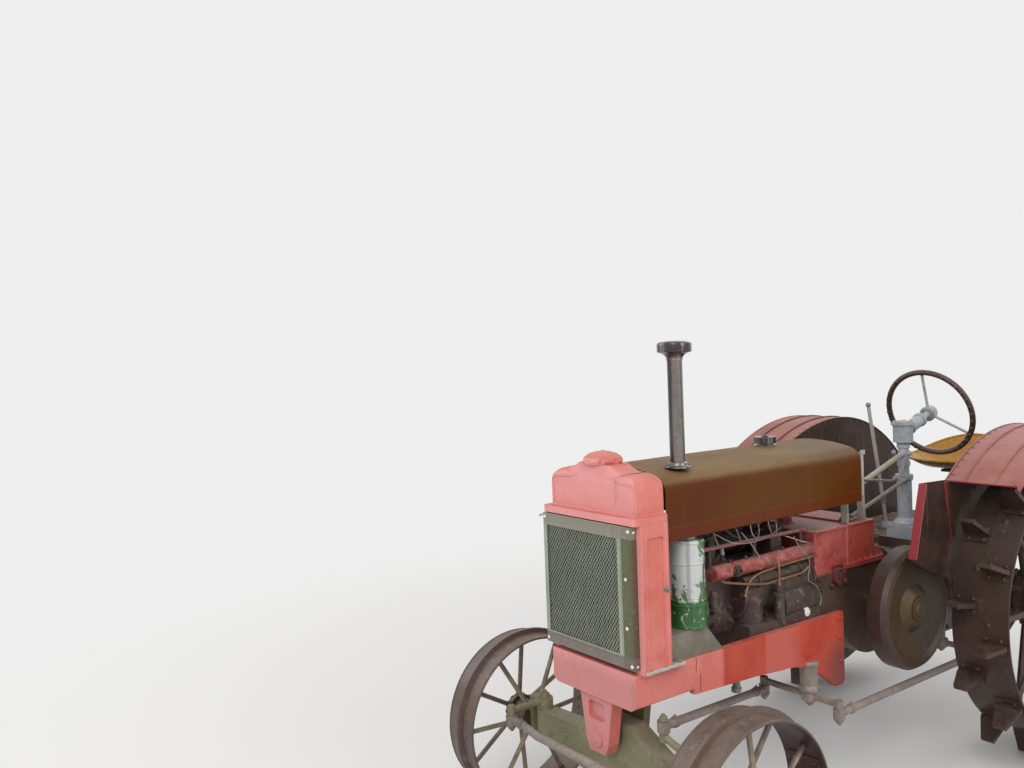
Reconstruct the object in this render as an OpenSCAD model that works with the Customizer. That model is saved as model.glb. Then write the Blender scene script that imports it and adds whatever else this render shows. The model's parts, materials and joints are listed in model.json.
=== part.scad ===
// Two-cylinder standard-tread farm tractor on steel wheels.
// Millimetres. +X is the tractor's left, +Y its rear, +Z up, and the floor is z = 0.
// Places along the tractor are counted from the front plane of the radiator guard,
// and place() then moves the origin under the middle of the tractor's length.

/* [Stance] */
// Front axle to rear axle
wheelbase = 1785; // [1740:5:1850]
// Front axle behind the radiator guard
front_axle_y = 115; // [108:1:122]
// Front wheel middle to middle
front_tread = 1026; // [1020:2:1060]
// Rear wheel middle to middle
rear_tread = 1062; // [1050:2:1070]

/* [Front wheels] */
// Rim radius without the guide rib
front_rim_r = 295; // [285:1:300]
// Rim width
front_rim_w = 144; // [130:1:150]
// Rim plate thickness
front_rim_t = 9; // [7:0.5:12]
// Height of the guide rib
front_rib_h = 16; // [10:1:20]
// Width of the guide rib
front_rib_w = 20; // [14:1:26]
// Spoke diameter
front_spoke_d = 17; // [13:1:20]
// Number of spokes
front_spokes = 12; // [8:2:16]
// Hub barrel radius
front_hub_r = 44; // [38:1:50]
// Spindle radius
spindle_r = 19; // [15:1:22]

/* [Rear wheels] */
// Rim radius without lugs
rear_rim_r = 508; // [495:1:515]
// Rim width
rear_rim_w = 203; // [180:1:210]
// Rim plate thickness
rear_rim_t = 10; // [8:0.5:13]
// Lug height
lug_h = 100; // [70:1:102]
// Lug thickness
lug_t = 16; // [12:1:24]
// Number of lugs
lugs = 24; // [16:2:28]
// Number of spokes
rear_spokes = 16; // [12:2:20]
// Spoke diameter
rear_spoke_d = 24; // [18:1:30]
// Hub barrel radius
rear_hub_r = 82; // [70:1:90]
// Axle shaft radius
axle_shaft_r = 35; // [28:1:40]

/* [Front axle and steering] */
// King pin to king pin
king_pin_span = 800; // [790:2:806]
// King pin radius
king_pin_r = 14; // [11:1:17]
// Height of the axle's pivot pin
axle_pivot_z = 405; // [398:1:415]
// Pivot pin radius
axle_pivot_r = 20; // [16:1:24]
// Tie rod arm length
tie_arm = 150; // [140:1:160]
// Drag link arm length, the same at the knuckle and at the relay
drag_arm = 200; // [180:1:205]
// Rear link arm length, the same at the relay and at the pitman
rear_arm = 120; // [100:1:130]
// Link tube diameter
link_d = 32; // [26:1:34]
// Height of the relay's and the pitman's links
link_z = 352; // [345:1:356]
// Steering wheel rim radius
steering_wheel_r = 200; // [185:1:215]
// Steering wheel rim thickness
steering_rim_d = 24; // [18:1:28]
// Steering shaft's slope above level, in degrees
steering_slope = 18; // [12:1:22]

/* [Frame] */
// Width over the frame rails
frame_w = 396; // [390:1:400]
// Rail thickness
rail_t = 22; // [16:1:26]
// Frame top
frame_top_z = 658; // [652:1:664]
// Frame bottom at the front
frame_low_z = 545; // [538:1:552]
// Crest of the arch under each rail
arch_crest_z = 514; // [506:1:525]
// Lowest tip of each rail
rail_tip_z = 384; // [378:1:398]
// Rear end of the rails
rail_end_y = 1060; // [1045:1:1070]
// Bottom of the pivot pedestal
pedestal_low_z = 358; // [350:1:362]

/* [Radiator] */
// Width over the tank's flange
radiator_w = 440; // [430:1:450]
// Depth of the tank's flange
radiator_d = 148; // [140:1:156]
// Height of the tank's flange top
flange_z = 1136; // [1128:1:1145]
// Flange thickness
flange_t = 22; // [16:1:26]
// Tank height above its flange
tank_h = 128; // [115:1:140]
// Guard depth
guard_d = 24; // [18:1:28]
// Part of the left cheek that shows beside the guard
guard_short = 18; // [10:1:24]
// Width of the plain strip on the guard's left
guard_left_strip = 62; // [50:1:70]
// Width of the guard's other side strip
guard_right_strip = 18; // [14:1:26]
// Height of the guard's upper and lower strips
guard_end_strip = 40; // [30:1:46]
// Spacing of the guard's bars
guard_pitch = 34; // [28:1:45]
// Guard bar width
guard_bar = 5; // [4:0.5:7]

/* [Hood] */
// Hood width
hood_w = 414; // [404:1:424]
// Hood lower edge
hood_low_z = 1044; // [1035:1:1055]
// Hood shoulder height
hood_shoulder_z = 1238; // [1225:1:1250]
// Rise of the hood's crown above its shoulders
hood_crown = 30; // [20:1:40]
// Hood rear edge
hood_end_y = 1182; // [1170:1:1195]
// Hood sheet thickness
hood_t = 3; // [2:0.5:4]
// Air stack radius
stack_r = 28; // [24:1:34]
// Air stack top
stack_top_z = 1668; // [1640:1:1690]
// Air stack place along the hood
stack_y = 277; // [265:1:295]

/* [Engine] */
// Crankshaft place along the tractor
crank_y = 1315; // [1305:1:1325]
// Crankshaft height
crank_z = 638; // [630:1:650]
// Crankshaft radius
crank_r = 30; // [26:1:34]
// Flywheel radius
flywheel_r = 228; // [218:1:232]
// Flywheel width
flywheel_w = 82; // [70:1:90]
// Belt pulley radius
pulley_r = 133; // [120:1:140]
// Belt pulley width
pulley_w = 150; // [140:1:156]
// Crankcase width
case_w = 300; // [290:1:310]
// Crankcase top
case_top_z = 950; // [944:1:956]
// Cylinder block top
block_top_z = 852; // [845:1:856]

/* [Fenders and platform] */
// Inner face of each fender to the middle
fender_in_x = 398; // [396:1:402]
// Outer edge of each fender to the middle
fender_out_x = 652; // [650:1:670]
// Fender top height
fender_top_z = 1287; // [1280:1:1300]
// Fender arch radius in front of its top
fender_front_r = 835; // [820:1:850]
// Fender arch radius behind its top
fender_rear_r = 700; // [690:1:720]
// Fender top's place along the tractor
fender_c_y = 1938; // [1925:1:1950]
// Fender sheet thickness
fender_t = 4; // [3:0.5:6]
// Platform height
platform_z = 775; // [770:1:785]
// Platform sheet thickness
platform_t = 6; // [5:0.5:8]
// Seat height
seat_z = 1065; // [1045:1:1080]
// Seat place along the tractor
seat_y = 2250; // [2235:1:2270]
// Seat radius
seat_r = 205; // [190:1:215]

/* [Hidden] */
run = 0.05;          // radial clearance of a shaft in its bore
slack = 0.5;         // radial clearance of a stud in a link's free eye
seat_gap = 0.3;      // clearance between pieces that seat on each other
thrust_gap = 1;      // end clearance beside a turning piece
weld = 2;            // how far one solid of a piece reaches into the next

// Wheels stand on the guide ribs in front and on two neighbouring lugs behind
front_r = front_rim_r + front_rib_h;
lug_tip_r = rear_rim_r + lug_h;
lug_step = 360 / lugs;
lug_corner_r = sqrt(lug_tip_r * lug_tip_r + lug_t * lug_t / 4);
rear_z = lug_corner_r * cos(lug_step / 2 - atan(lug_t / 2 / lug_tip_r));
rear_axle_y = front_axle_y + wheelbase;

king_x = king_pin_span / 2;
rail_in_x = frame_w / 2 - rail_t;
drawbar_end_y = rear_axle_y + 745;
front_end_y = front_axle_y - front_r;
middle_y = (front_end_y + drawbar_end_y) / 2;

// Steering places
relay_at = [rail_in_x + rail_t / 2, 860];
pitman_at = [relay_at[0], 1750];
post_at = [40, 1752];
post_low_z = 806;
post_top_z = 1294;
shaft_z = post_top_z - 42;
wheel_out = 225;     // steering wheel hub from the post's middle, along the shaft

function arc(cy, cz, r, a0, a1, n) = [for (i = [0:n])
    let (a = a0 + (a1 - a0) * i / n) [cy + r * cos(a), cz + r * sin(a)]];
function flip(points) = [for (i = [len(points) - 1:-1:0]) points[i]];

// Straight round bar between two points
module bar(a, b, d) {
    v = b - a;
    l = norm(v);
    translate(a) rotate([0, acos(v[2] / l), atan2(v[1], v[0])]) cylinder(h = l, d = d, $fn = 32);
}
// Bent bar through points, with a ball at each bend
module bent(points, d) {
    for (i = [0:len(points) - 2]) bar(points[i], points[i + 1], d);
    for (i = [1:len(points) - 2]) translate(points[i]) sphere(d = d + 1, $fn = 32);
}
// Cylinders along X, Y and Z between two places
module rod_x(x0, x1, y, z, r) {
    translate([x0, y, z]) rotate([0, 90, 0]) cylinder(h = x1 - x0, r = r, $fn = 64);
}
module rod_y(y0, y1, x, z, r) {
    translate([x, y1, z]) rotate([90, 0, 0]) cylinder(h = y1 - y0, r = r, $fn = 64);
}
module rod_z(z0, z1, x, y, r) {
    translate([x, y, z0]) cylinder(h = z1 - z0, r = r, $fn = 64);
}
// Box from its low corner to its high corner
module block(low, high) {
    translate(low) cube(high - low);
}
// Rectangle about the origin with round corners
module rounded(w, h, r) {
    square([w - 2 * r, h], center = true);
    square([w, h - 2 * r], center = true);
    for (x = [-1, 1], y = [-1, 1]) translate([x * (w / 2 - r), y * (h / 2 - r)]) circle(r = r, $fn = 48);
}
// Plate drawn in the YZ plane and given a thickness along X
module plate_x(x0, x1, points) {
    translate([x0, 0, 0]) rotate([90, 0, 90]) linear_extrude(x1 - x0) polygon(points);
}
// Plate drawn in the XZ plane and given a thickness along Y
module plate_y(y0, y1, points) {
    translate([0, y1, 0]) rotate([90, 0, 0]) linear_extrude(y1 - y0) polygon(points);
}

// Frame

front_wall = 42;
cleaner_low_z = 748;
deck_half = frame_w / 2 - 2;
deck_end_y = 396;
deck_top_z = cleaner_low_z - seat_gap;
frame_split_y = 260;
pedestal_half = 78;
pin_front_y = 16;
axle_half_d = 34;
pin_rear_y = front_axle_y + 78;
module pedestal(y0, y1) {
    plate_y(y0, y1, [[-pedestal_half, frame_low_z + 10], [-52, pedestal_low_z + 34], [-36, pedestal_low_z],
        [36, pedestal_low_z], [52, pedestal_low_z + 34], [pedestal_half, frame_low_z + 10]]);
}
module front_frame() {
    half = frame_w / 2;
    color("lightpink") difference() {
        union() {
            difference() {
                plate_y(4, frame_split_y, [[-half, frame_top_z], [-half, frame_low_z + 14], [-half + 22, frame_low_z],
                    [half - 22, frame_low_z], [half, frame_low_z + 14], [half, frame_top_z]]);
                block([-rail_in_x, front_wall, frame_low_z - 1], [rail_in_x, frame_split_y + 1, frame_top_z + 1]);
            }
            pedestal(pin_front_y, 62);
            pedestal(front_axle_y + 48, pin_rear_y);
            // Deck behind the radiator, on the walls and over the front ends of the rails
            plate_x(-deck_half, deck_half, [[radiator_d + 2, frame_top_z - weld], [radiator_d + 2, deck_top_z],
                [deck_end_y - 72, deck_top_z], [deck_end_y, frame_top_z + 6], [deck_end_y, frame_top_z + seat_gap],
                [frame_split_y - 2, frame_top_z + seat_gap], [frame_split_y - 2, frame_top_z - weld]]);
            // Shelf that ties the rear pedestal to the walls
            block([-rail_in_x - weld, front_wall - weld, frame_low_z + 2], [rail_in_x + weld, pin_rear_y, frame_low_z + 24]);
            // Pivot pin of the axle, fixed in both pedestals
            rod_y(pin_front_y + 8, pin_rear_y + 10, 0, axle_pivot_z, axle_pivot_r);
        }
        // Pocket in the face of the pedestal
        translate([0, pin_front_y - 1, frame_low_z - 52]) rotate([-90, 0, 0])
            linear_extrude(16) rounded(74, 60, 12);
    }
}

rail_start_y = frame_split_y + seat_gap;
module side_rail(side) {
    arch_y = 700;
    arch_l = 300;
    low = concat(
        [[rail_start_y, frame_low_z - 6], [560, arch_crest_z + 12]],
        [for (i = [0:8]) let (t = i / 8)
            [arch_y + arch_l * t, arch_crest_z + 8 * t * (1 - t) - (arch_crest_z - rail_tip_z) * t * t]],
        [[rail_end_y - 12, rail_tip_z - 2], [rail_end_y, rail_tip_z + 14], [rail_end_y, frame_top_z - 8],
            [rail_start_y, frame_top_z]]);
    x0 = side > 0 ? rail_in_x : -frame_w / 2;
    color("salmon") difference() {
        union() {
            plate_x(x0, x0 + rail_t, low);
            if (side > 0) rod_z(relay_boss_low_z, arch_crest_z + 10, relay_at[0], relay_at[1], 30);
        }
        if (side > 0) rod_z(relay_boss_low_z - 1, arch_crest_z, relay_at[0], relay_at[1], relay_r + run);
    }
}
module side_rail_left() { side_rail(1); }
module side_rail_right() { side_rail(-1); }

// Radiator

cheek_t = 40;
cheek_low_z = frame_top_z + seat_gap;
core_low_z = cheek_low_z + 62;
flange_low_z = flange_z - flange_t;
tank_w = radiator_w - 36;
tank_front_y = 28;   // the flange reaches forward of the tank's face by this much
tank_rear_y = radiator_d - 4;
tank_mid_y = 80;
collar_h = 20;
collar_drop = 36;
module radiator_tank() {
    color("lightpink") {
        translate([0, radiator_d / 2, flange_low_z]) linear_extrude(flange_t) rounded(radiator_w, radiator_d, 12);
        // Tank body: a front outline cut to a side outline, both with round shoulders
        intersection() {
            translate([0, radiator_d, flange_z - weld]) rotate([90, 0, 0]) linear_extrude(radiator_d)
                translate([0, tank_h / 2 - 40]) rounded(tank_w, tank_h + 80, 52);
            translate([-tank_w / 2, (tank_front_y + tank_rear_y) / 2, flange_z - weld]) rotate([90, 0, 90])
                linear_extrude(tank_w) translate([0, tank_h / 2 - 30])
                rounded(tank_rear_y - tank_front_y, tank_h + 60, 34);
            block([-radiator_w, 0, flange_z - weld], [radiator_w, radiator_d, flange_z + tank_h]);
        }
        // Step up to the filler
        translate([0, tank_mid_y + 4, flange_z + tank_h - collar_drop]) linear_extrude(collar_h + collar_drop)
            rounded(184, 104, 50);
    }
}
cap_z = flange_z + tank_h + collar_h + seat_gap;
module radiator_cap() {
    color("pink") translate([0, tank_mid_y, cap_z]) difference() {
        rotate_extrude($fn = 64) polygon([[0, 0], [62, 0], [66, 8], [60, 20], [44, 31], [22, 37], [0, 38]]);
        for (a = [0:45:315]) rotate([0, 0, a]) translate([78, 0, -1]) cylinder(h = 28, r = 18, $fn = 32);
    }
}
module radiator_sides() {
    color("salmon") {
        for (s = [-1, 1]) {
            x0 = s > 0 ? radiator_w / 2 - cheek_t : -radiator_w / 2;
            xp = s > 0 ? radiator_w / 2 - 5 : -radiator_w / 2 - 1;
            difference() {
                block([x0, guard_d + seat_gap, cheek_low_z], [x0 + cheek_t, radiator_d - 6, flange_low_z - seat_gap]);
                translate([xp, (guard_d + radiator_d) / 2, (cheek_low_z + flange_low_z) / 2]) rotate([90, 0, 90])
                    linear_extrude(6) rounded(70, 370, 10);
            }
        }
        // Bottom tank between the cheeks
        block([-radiator_w / 2 + cheek_t - weld, guard_d + 8, cheek_low_z],
            [radiator_w / 2 - cheek_t + weld, radiator_d - 10, core_low_z - seat_gap]);
    }
}
module radiator_core() {
    color("dimgray") block([-radiator_w / 2 + cheek_t + seat_gap, guard_d + 18, core_low_z],
        [radiator_w / 2 - cheek_t - seat_gap, radiator_d - 22, flange_low_z - seat_gap]);
}
guard_low_z = frame_top_z + 16;
guard_high_z = flange_low_z - 4;
guard_x = [-radiator_w / 2, radiator_w / 2 - guard_short];
guard_plate = 5;
guard_wall = 4;
mesh_x = [guard_x[0] + guard_right_strip, guard_x[1] - guard_left_strip];
mesh_z = [guard_low_z + guard_end_strip, guard_high_z - guard_end_strip];
guard_slant = 26;    // slope of the screen's bars from upright, in degrees
module between(xs, zs) {
    translate([xs[0], zs[0]]) square([xs[1] - xs[0], zs[1] - zs[0]]);
}
module radiator_guard() {
    mesh_mid = [(mesh_x[0] + mesh_x[1]) / 2, (mesh_z[0] + mesh_z[1]) / 2];
    mesh_h = mesh_z[1] - mesh_z[0];
    bars = ceil(((mesh_x[1] - mesh_x[0]) / 2 + mesh_h * tan(guard_slant) / 2) / guard_pitch);
    color("darkslategray") translate([0, guard_d, 0]) rotate([90, 0, 0]) {
        linear_extrude(guard_d) difference() {
            between(guard_x, [guard_low_z, guard_high_z]);
            between(guard_x + [guard_wall, -guard_wall], [guard_low_z + guard_wall, guard_high_z - guard_wall]);
        }
        translate([0, 0, guard_d - guard_plate]) linear_extrude(guard_plate) {
            difference() {
                between(guard_x, [guard_low_z, guard_high_z]);
                between(mesh_x, mesh_z);
            }
            // Crossed bars of the screen, which make long diamonds standing on end
            intersection() {
                between(mesh_x + [-1, 1], mesh_z + [-1, 1]);
                for (s = [-1, 1], i = [-bars:bars]) translate([mesh_mid[0] + i * guard_pitch, mesh_mid[1]])
                    rotate(s * guard_slant) square([guard_bar, 3 * mesh_h], center = true);
            }
        }
    }
}

// Hood and fuel tank

hood_start_y = radiator_d + seat_gap;
hood_top_z = hood_shoulder_z + hood_crown;
// Outline of the hood, counted from its low left corner over the top, moved inwards by an inset
function hood_outline(inset, low_z) =
    let (half = hood_w / 2 - inset, r = 40 - inset, shoulder = hood_shoulder_z - inset,
        flat_half = half - r / 2, crown_r = (flat_half * flat_half + hood_crown * hood_crown) / (2 * hood_crown),
        crown_a = asin(flat_half / crown_r), top = hood_top_z - inset)
    concat([[half, low_z]], arc(half - r, shoulder - r, r, 0, 50, 4),
        arc(0, top - crown_r, crown_r, 90 - crown_a, 90 + crown_a, 12),
        arc(-half + r, shoulder - r, r, 130, 180, 4), [[-half, low_z]]);
module hood() {
    color("saddlebrown") translate([0, hood_end_y, 0]) rotate([90, 0, 0])
        linear_extrude(hood_end_y - hood_start_y)
        polygon(concat(hood_outline(0, hood_low_z), flip(hood_outline(hood_t, hood_low_z))));
}
tank_low_z = hood_low_z + 26;
tank_from_y = 520;
tank_to_y = 1150;
module fuel_tank() {
    color("olive") translate([0, tank_to_y, 0]) rotate([90, 0, 0])
        linear_extrude(tank_to_y - tank_from_y) polygon(hood_outline(hood_t + seat_gap, tank_low_z));
}
fuel_cap_y = 890;
module fuel_cap() {
    color("dimgray") {
        rod_z(hood_top_z + seat_gap, hood_top_z + 12, 0, fuel_cap_y, 30);
        rod_z(hood_top_z + 10, hood_top_z + 34, 0, fuel_cap_y, 38);
    }
}
bracket_y = hood_end_y + seat_gap;
module hood_bracket() {
    color("lightgray") {
        for (s = [-1, 1]) block([s * 130 - 14, bracket_y, case_top_z + seat_gap], [s * 130 + 14, bracket_y + 8, 1226]);
        block([-144, bracket_y, 1200], [144, bracket_y + 8, 1226]);
    }
}

// Air intake

cleaner_at = [150, 292];
cleaner_r = 58;
module air_cleaner() {
    color("honeydew") translate([cleaner_at[0], cleaner_at[1], 0]) {
        rod_z(cleaner_low_z + 84, hood_low_z - 14, 0, 0, cleaner_r);
        rod_z(cleaner_low_z, cleaner_low_z + 78, 0, 0, cleaner_r + 3);
        rod_z(cleaner_low_z + 76, cleaner_low_z + 86, 0, 0, cleaner_r + 6);
        // Neck up to the stack
        rod_z(hood_low_z - 16, hood_top_z - hood_t - 40, 0, 0, 30);
    }
}
stack_x = 140;
module air_stack() {
    color("gray") translate([stack_x, stack_y, 0]) {
        // Pipe and base flange, cut to the hood's curve
        difference() {
            union() {
                rod_z(hood_top_z - 40, stack_top_z - 30, 0, 0, stack_r);
                rod_z(hood_top_z - 40, hood_top_z - 2, 0, 0, stack_r + 12);
            }
            translate([-stack_x, 100, 0]) rotate([90, 0, 0]) linear_extrude(200)
                polygon(hood_outline(-seat_gap, hood_low_z));
        }
        translate([0, 0, stack_top_z - 52]) rotate_extrude($fn = 64)
            polygon([[0, 0], [stack_r, 0], [stack_r + 10, 14], [stack_r + 27, 22], [stack_r + 29, 44],
                [stack_r + 24, 52], [0, 52]]);
    }
}

// Engine and main case

engine_low_z = frame_top_z + 10;
head_y = [405, 560];
block_y = [head_y[1] + seat_gap, 960];
case_y = block_y[1] + seat_gap;
head_half = 105;
head_top_z = 905;
cylinder_x = 72;
cylinder_z = 782;
cylinder_r = 84;
water_at = [60, 500];
water_z = 1015;
water_r = 22;
module cylinder_head() {
    color("dimgray") {
        plate_x(-head_half, head_half, [[head_y[0], engine_low_z], [head_y[0], head_top_z - 22],
            [head_y[0] + 35, head_top_z], [head_y[1], head_top_z], [head_y[1], engine_low_z]]);
        for (x = [-60, 60]) rod_y(head_y[0] - 18, head_y[0] + weld, x, 772, 52);
        // Water pipe from the head up to the radiator
        bent([[water_at[0], radiator_d - 6 + seat_gap, water_z], [water_at[0], water_at[1] - 36, water_z],
            [water_at[0], water_at[1], water_z - 36], [water_at[0], water_at[1], head_top_z - weld]], 2 * water_r);
        rod_z(head_top_z - weld, head_top_z + 14, water_at[0], water_at[1], water_r + 14);
    }
}
intake_at = [140, 828];
module cylinder_block() {
    color("dimgray") {
        block([-rail_in_x + seat_gap, block_y[0], 590], [rail_in_x - seat_gap, block_y[1], engine_low_z + 20]);
        block([-head_half, block_y[0], engine_low_z], [head_half, block_y[1], block_top_z]);
        for (x = [-cylinder_x, cylinder_x]) rod_y(block_y[0], block_y[1], x, cylinder_z, cylinder_r);
        // Long tube under the side pipe, domed bowl and round housing low on the left
        rod_y(block_y[0] + 5, 880, intake_at[0], intake_at[1], 22);
        translate([118, 622, 640]) rotate_extrude($fn = 64)
            polygon([[0, 0], [52, 0], [52, 128], [46, 144], [32, 156], [14, 162], [0, 163]]);
        rod_y(760, block_y[1], 86, 712, 86);
        // Filler box on the top
        block([40, 775, block_top_z - weld], [head_half - 2, 835, 985]);
    }
}
pipe_at = [135, 885];
pipe_r = 26;
module side_pipe() {
    color("lightcoral") {
        rod_y(425, block_y[1], pipe_at[0], pipe_at[1], pipe_r);
        for (y = [460, 530]) rod_x(head_half + seat_gap, pipe_at[0], y, pipe_at[1] - 4, 15);
    }
}
exhaust_x = 236;
module manifold() {
    color("sienna") {
        for (y = [470, 520]) rod_x(-exhaust_x, -head_half - seat_gap, y, 810, 24);
        rod_y(440, 745, -exhaust_x, 810, 30);
        bent([[-exhaust_x, 740, 810], [-exhaust_x, 820, 760], [-exhaust_x, 880, 690], [-exhaust_x, 900, 560]], 54);
    }
}
carb_at = [182, 715];
module carburettor() {
    color("darkkhaki") {
        rod_z(690, 772, carb_at[0], carb_at[1], 18);
        rod_z(770, 782, carb_at[0], carb_at[1], 24);
        rod_z(780, 806, carb_at[0], carb_at[1], 13);
        rod_x(cylinder_x + cylinder_r + seat_gap, carb_at[0], carb_at[1], 794, 11);
    }
}
magneto_w = 86;
magneto_y = [1010, 1130];
magneto_z = [806, 892];
module magneto() {
    inner_x = -case_w / 2 - seat_gap;
    drum_r = magneto_w / 2 - 1;
    color("gray") {
        block([inner_x - magneto_w, magneto_y[0], magneto_z[0]], [inner_x, magneto_y[1], magneto_z[1]]);
        rod_y(magneto_y[0] - 30, magneto_y[0] + weld, inner_x - magneto_w / 2, (magneto_z[0] + magneto_z[1]) / 2, drum_r);
    }
}
case_low_z = 385;
gear_half = 128;
module main_case() {
    color("indianred") difference() {
        union() {
            // Crankcase
            block([-case_w / 2, case_y, 560], [case_w / 2, 1345, case_top_z]);
            rod_x(-case_w / 2, case_w / 2, crank_y, crank_z, 205);
            // Lip round the lower edge of its upper half, and a boss under it on the left
            block([-case_w / 2 - 10, 1142, 786], [case_w / 2 + 10, 1390, 803]);
            rod_x(0, case_w / 2 + 12, 1100, 765, 34);
            // Feet between the rails
            block([-rail_in_x + seat_gap, 985, 420], [rail_in_x - seat_gap, rail_end_y, 610]);
            // Gear case
            plate_x(-gear_half, gear_half, [[1300, 470], [1300, 850], [1420, 800], [1720, 760], [2000, 700],
                [2070, 640], [2090, 560], [2050, 430], [2000, case_low_z], [1500, case_low_z]]);
            // Seat of the steering post
            block([-48, 1690, 700], [gear_half - weld, 1812, post_low_z - seat_gap]);
        }
        rod_x(-400, 400, crank_y, crank_z, crank_r + run);
    }
}
flywheel_in_x = 268;
pulley_in_x = 216;
module crankshaft() {
    color("silver") rod_x(-pulley_in_x - pulley_w - 8, flywheel_in_x + flywheel_w + 8, crank_y, crank_z, crank_r);
}
module flywheel() {
    color("rosybrown") translate([flywheel_in_x, crank_y, crank_z]) rotate([0, 90, 0]) rotate_extrude($fn = 96)
        polygon([[crank_r + run, 8], [flywheel_r - 40, 8], [flywheel_r - 30, 0], [flywheel_r - 8, 0], [flywheel_r, 8],
            [flywheel_r, flywheel_w - 22], [flywheel_r - 12, flywheel_w - 6], [flywheel_r - 30, flywheel_w - 2],
            [flywheel_r - 44, flywheel_w - 14], [90, flywheel_w - 26], [60, flywheel_w], [crank_r + run, flywheel_w]]);
}
module belt_pulley() {
    color("gray") translate([-pulley_in_x, crank_y, crank_z]) rotate([0, -90, 0]) rotate_extrude($fn = 96)
        polygon([[crank_r + run, 0], [pulley_r, 0], [pulley_r, pulley_w], [pulley_r - 14, pulley_w],
            [pulley_r - 14, 40], [58, 40], [58, pulley_w - 20], [crank_r + run, pulley_w - 20]]);
}

// Front axle and steering

boss_r = 30;
boss_h = 104;
boss_z = front_r - boss_h / 2 + 12;
ear_t = 24;
ear_low_z = boss_z - thrust_gap - ear_t;
ear_high_z = boss_z + boss_h + thrust_gap;
arm_z = ear_high_z + ear_t / 2;
web_in = boss_r + 4;
web_out = web_in + 17;
stud_r = 9;
eye_r = 20;
eye_h = 34;
module front_axle() {
    high = boss_z + boss_h;
    color("darkkhaki") difference() {
        union() {
            plate_y(front_axle_y - axle_half_d, front_axle_y + axle_half_d, [[-king_x, boss_z + 16], [-king_x + 40, boss_z + 10],
                [-250, boss_z - 26], [-110, boss_z - 42], [110, boss_z - 42], [250, boss_z - 26], [king_x - 40, boss_z + 10],
                [king_x, boss_z + 16], [king_x, high - 14], [230, high - 4], [80, axle_pivot_z + 44],
                [-80, axle_pivot_z + 44], [-230, high - 4], [-king_x, high - 14]]);
            for (s = [-1, 1]) rod_z(boss_z, high, s * king_x, front_axle_y, boss_r);
        }
        for (s = [-1, 1]) rod_z(boss_z - 1, high + 1, s * king_x, front_axle_y, king_pin_r + run);
        rod_y(0, frame_split_y, 0, axle_pivot_z, axle_pivot_r + run);
    }
}
tie_y = front_axle_y - tie_arm;
end_r = 15;          // half height and radius of the boss at an arm's end
tie_z = arm_z - end_r - seat_gap - eye_h / 2;
drag_z = 478;
drag_arm_z = drag_z - eye_h / 2 - seat_gap - end_r;
drag_from = [king_x - drag_arm, front_axle_y];
drag_to = [relay_at[0] - drag_arm, relay_at[1]];
relay_r = 18;
relay_arm_z = link_z + eye_h / 2 + seat_gap + end_r;
relay_boss_low_z = relay_arm_z + end_r + thrust_gap;
// Arm from one place to another, with a boss at its far end and a stud down or up to a link's eye
module arm(a, b, stud_to_z) {
    bar(a, b, 24);
    rod_z(b[2] - end_r, b[2] + end_r, b[0], b[1], end_r);
    rod_z(min(b[2], stud_to_z), max(b[2], stud_to_z), b[0], b[1], stud_r);
}
// Link between two eyes, the first on a close stud and the second on a free one
module link(a, b, points) {
    difference() {
        union() {
            bent(points, link_d - 4);
            for (p = [a, b]) rod_z(p[2] - eye_h / 2, p[2] + eye_h / 2, p[0], p[1], eye_r);
        }
        rod_z(a[2] - eye_h, a[2] + eye_h, a[0], a[1], stud_r + run);
        rod_z(b[2] - eye_h, b[2] + eye_h, b[0], b[1], stud_r + slack);
    }
}
module knuckle(side) {
    kx = side * king_x;
    web = side > 0 ? [kx + web_in, kx + web_out] : [kx - web_out, kx - web_in];
    spindle = side > 0 ? [web[0], front_tread / 2 + 44] : [-front_tread / 2 - 44, web[1]];
    color("darkolivegreen") {
        rod_z(ear_low_z, ear_high_z + ear_t, kx, front_axle_y, king_pin_r);
        for (z = [ear_low_z, ear_high_z]) {
            rod_z(z, z + ear_t, kx, front_axle_y, boss_r);
            block([min(kx, web[0]), front_axle_y - boss_r, z], [max(kx, web[1]), front_axle_y + boss_r, z + ear_t]);
        }
        block([web[0], front_axle_y - boss_r, ear_low_z], [web[1], front_axle_y + boss_r, ear_high_z + ear_t]);
        rod_x(spindle[0], spindle[1], front_axle_y, front_r, spindle_r);
        // Arm forward to the tie rod
        arm([kx, front_axle_y, arm_z], [kx, tie_y, arm_z], tie_z - eye_h / 2 - 3);
    }
}
module knuckle_left() {
    knuckle(1);
    // Arm inwards over the axle to the drag link
    color("darkolivegreen") arm([king_x, front_axle_y, arm_z], [drag_from[0], drag_from[1], drag_arm_z],
        drag_z + eye_h / 2 + 3);
}
module knuckle_right() { knuckle(-1); }
module tie_rod() {
    bow = 12;
    a = [king_x, tie_y, tie_z];
    b = [-king_x, tie_y, tie_z];
    color("gray") link(a, b, [a, a - [70, 0, 0], a - [150, 0, bow], b + [150, 0, -bow], b + [70, 0, 0], b]);
}
module drag_link() {
    a = [drag_from[0], drag_from[1], drag_z];
    b = [drag_to[0], drag_to[1], link_z];
    color("gray") link(a, b, [a, b]);
}
module steering_relay() {
    pivot = [relay_at[0], relay_at[1], relay_arm_z];
    low = link_z - eye_h / 2 - 3;
    color("gray") {
        rod_z(relay_arm_z, arch_crest_z - 2, relay_at[0], relay_at[1], relay_r);
        rod_z(relay_arm_z - end_r, relay_arm_z + end_r, relay_at[0], relay_at[1], 28);
        arm(pivot, [drag_to[0], drag_to[1], relay_arm_z], low);
        arm(pivot, [relay_at[0] + rear_arm, relay_at[1], relay_arm_z], low);
    }
}
module rear_link() {
    a = [relay_at[0] + rear_arm, relay_at[1], link_z];
    b = [pitman_at[0] + rear_arm, pitman_at[1], link_z];
    color("gray") link(a, b, [a, b]);
}
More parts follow.
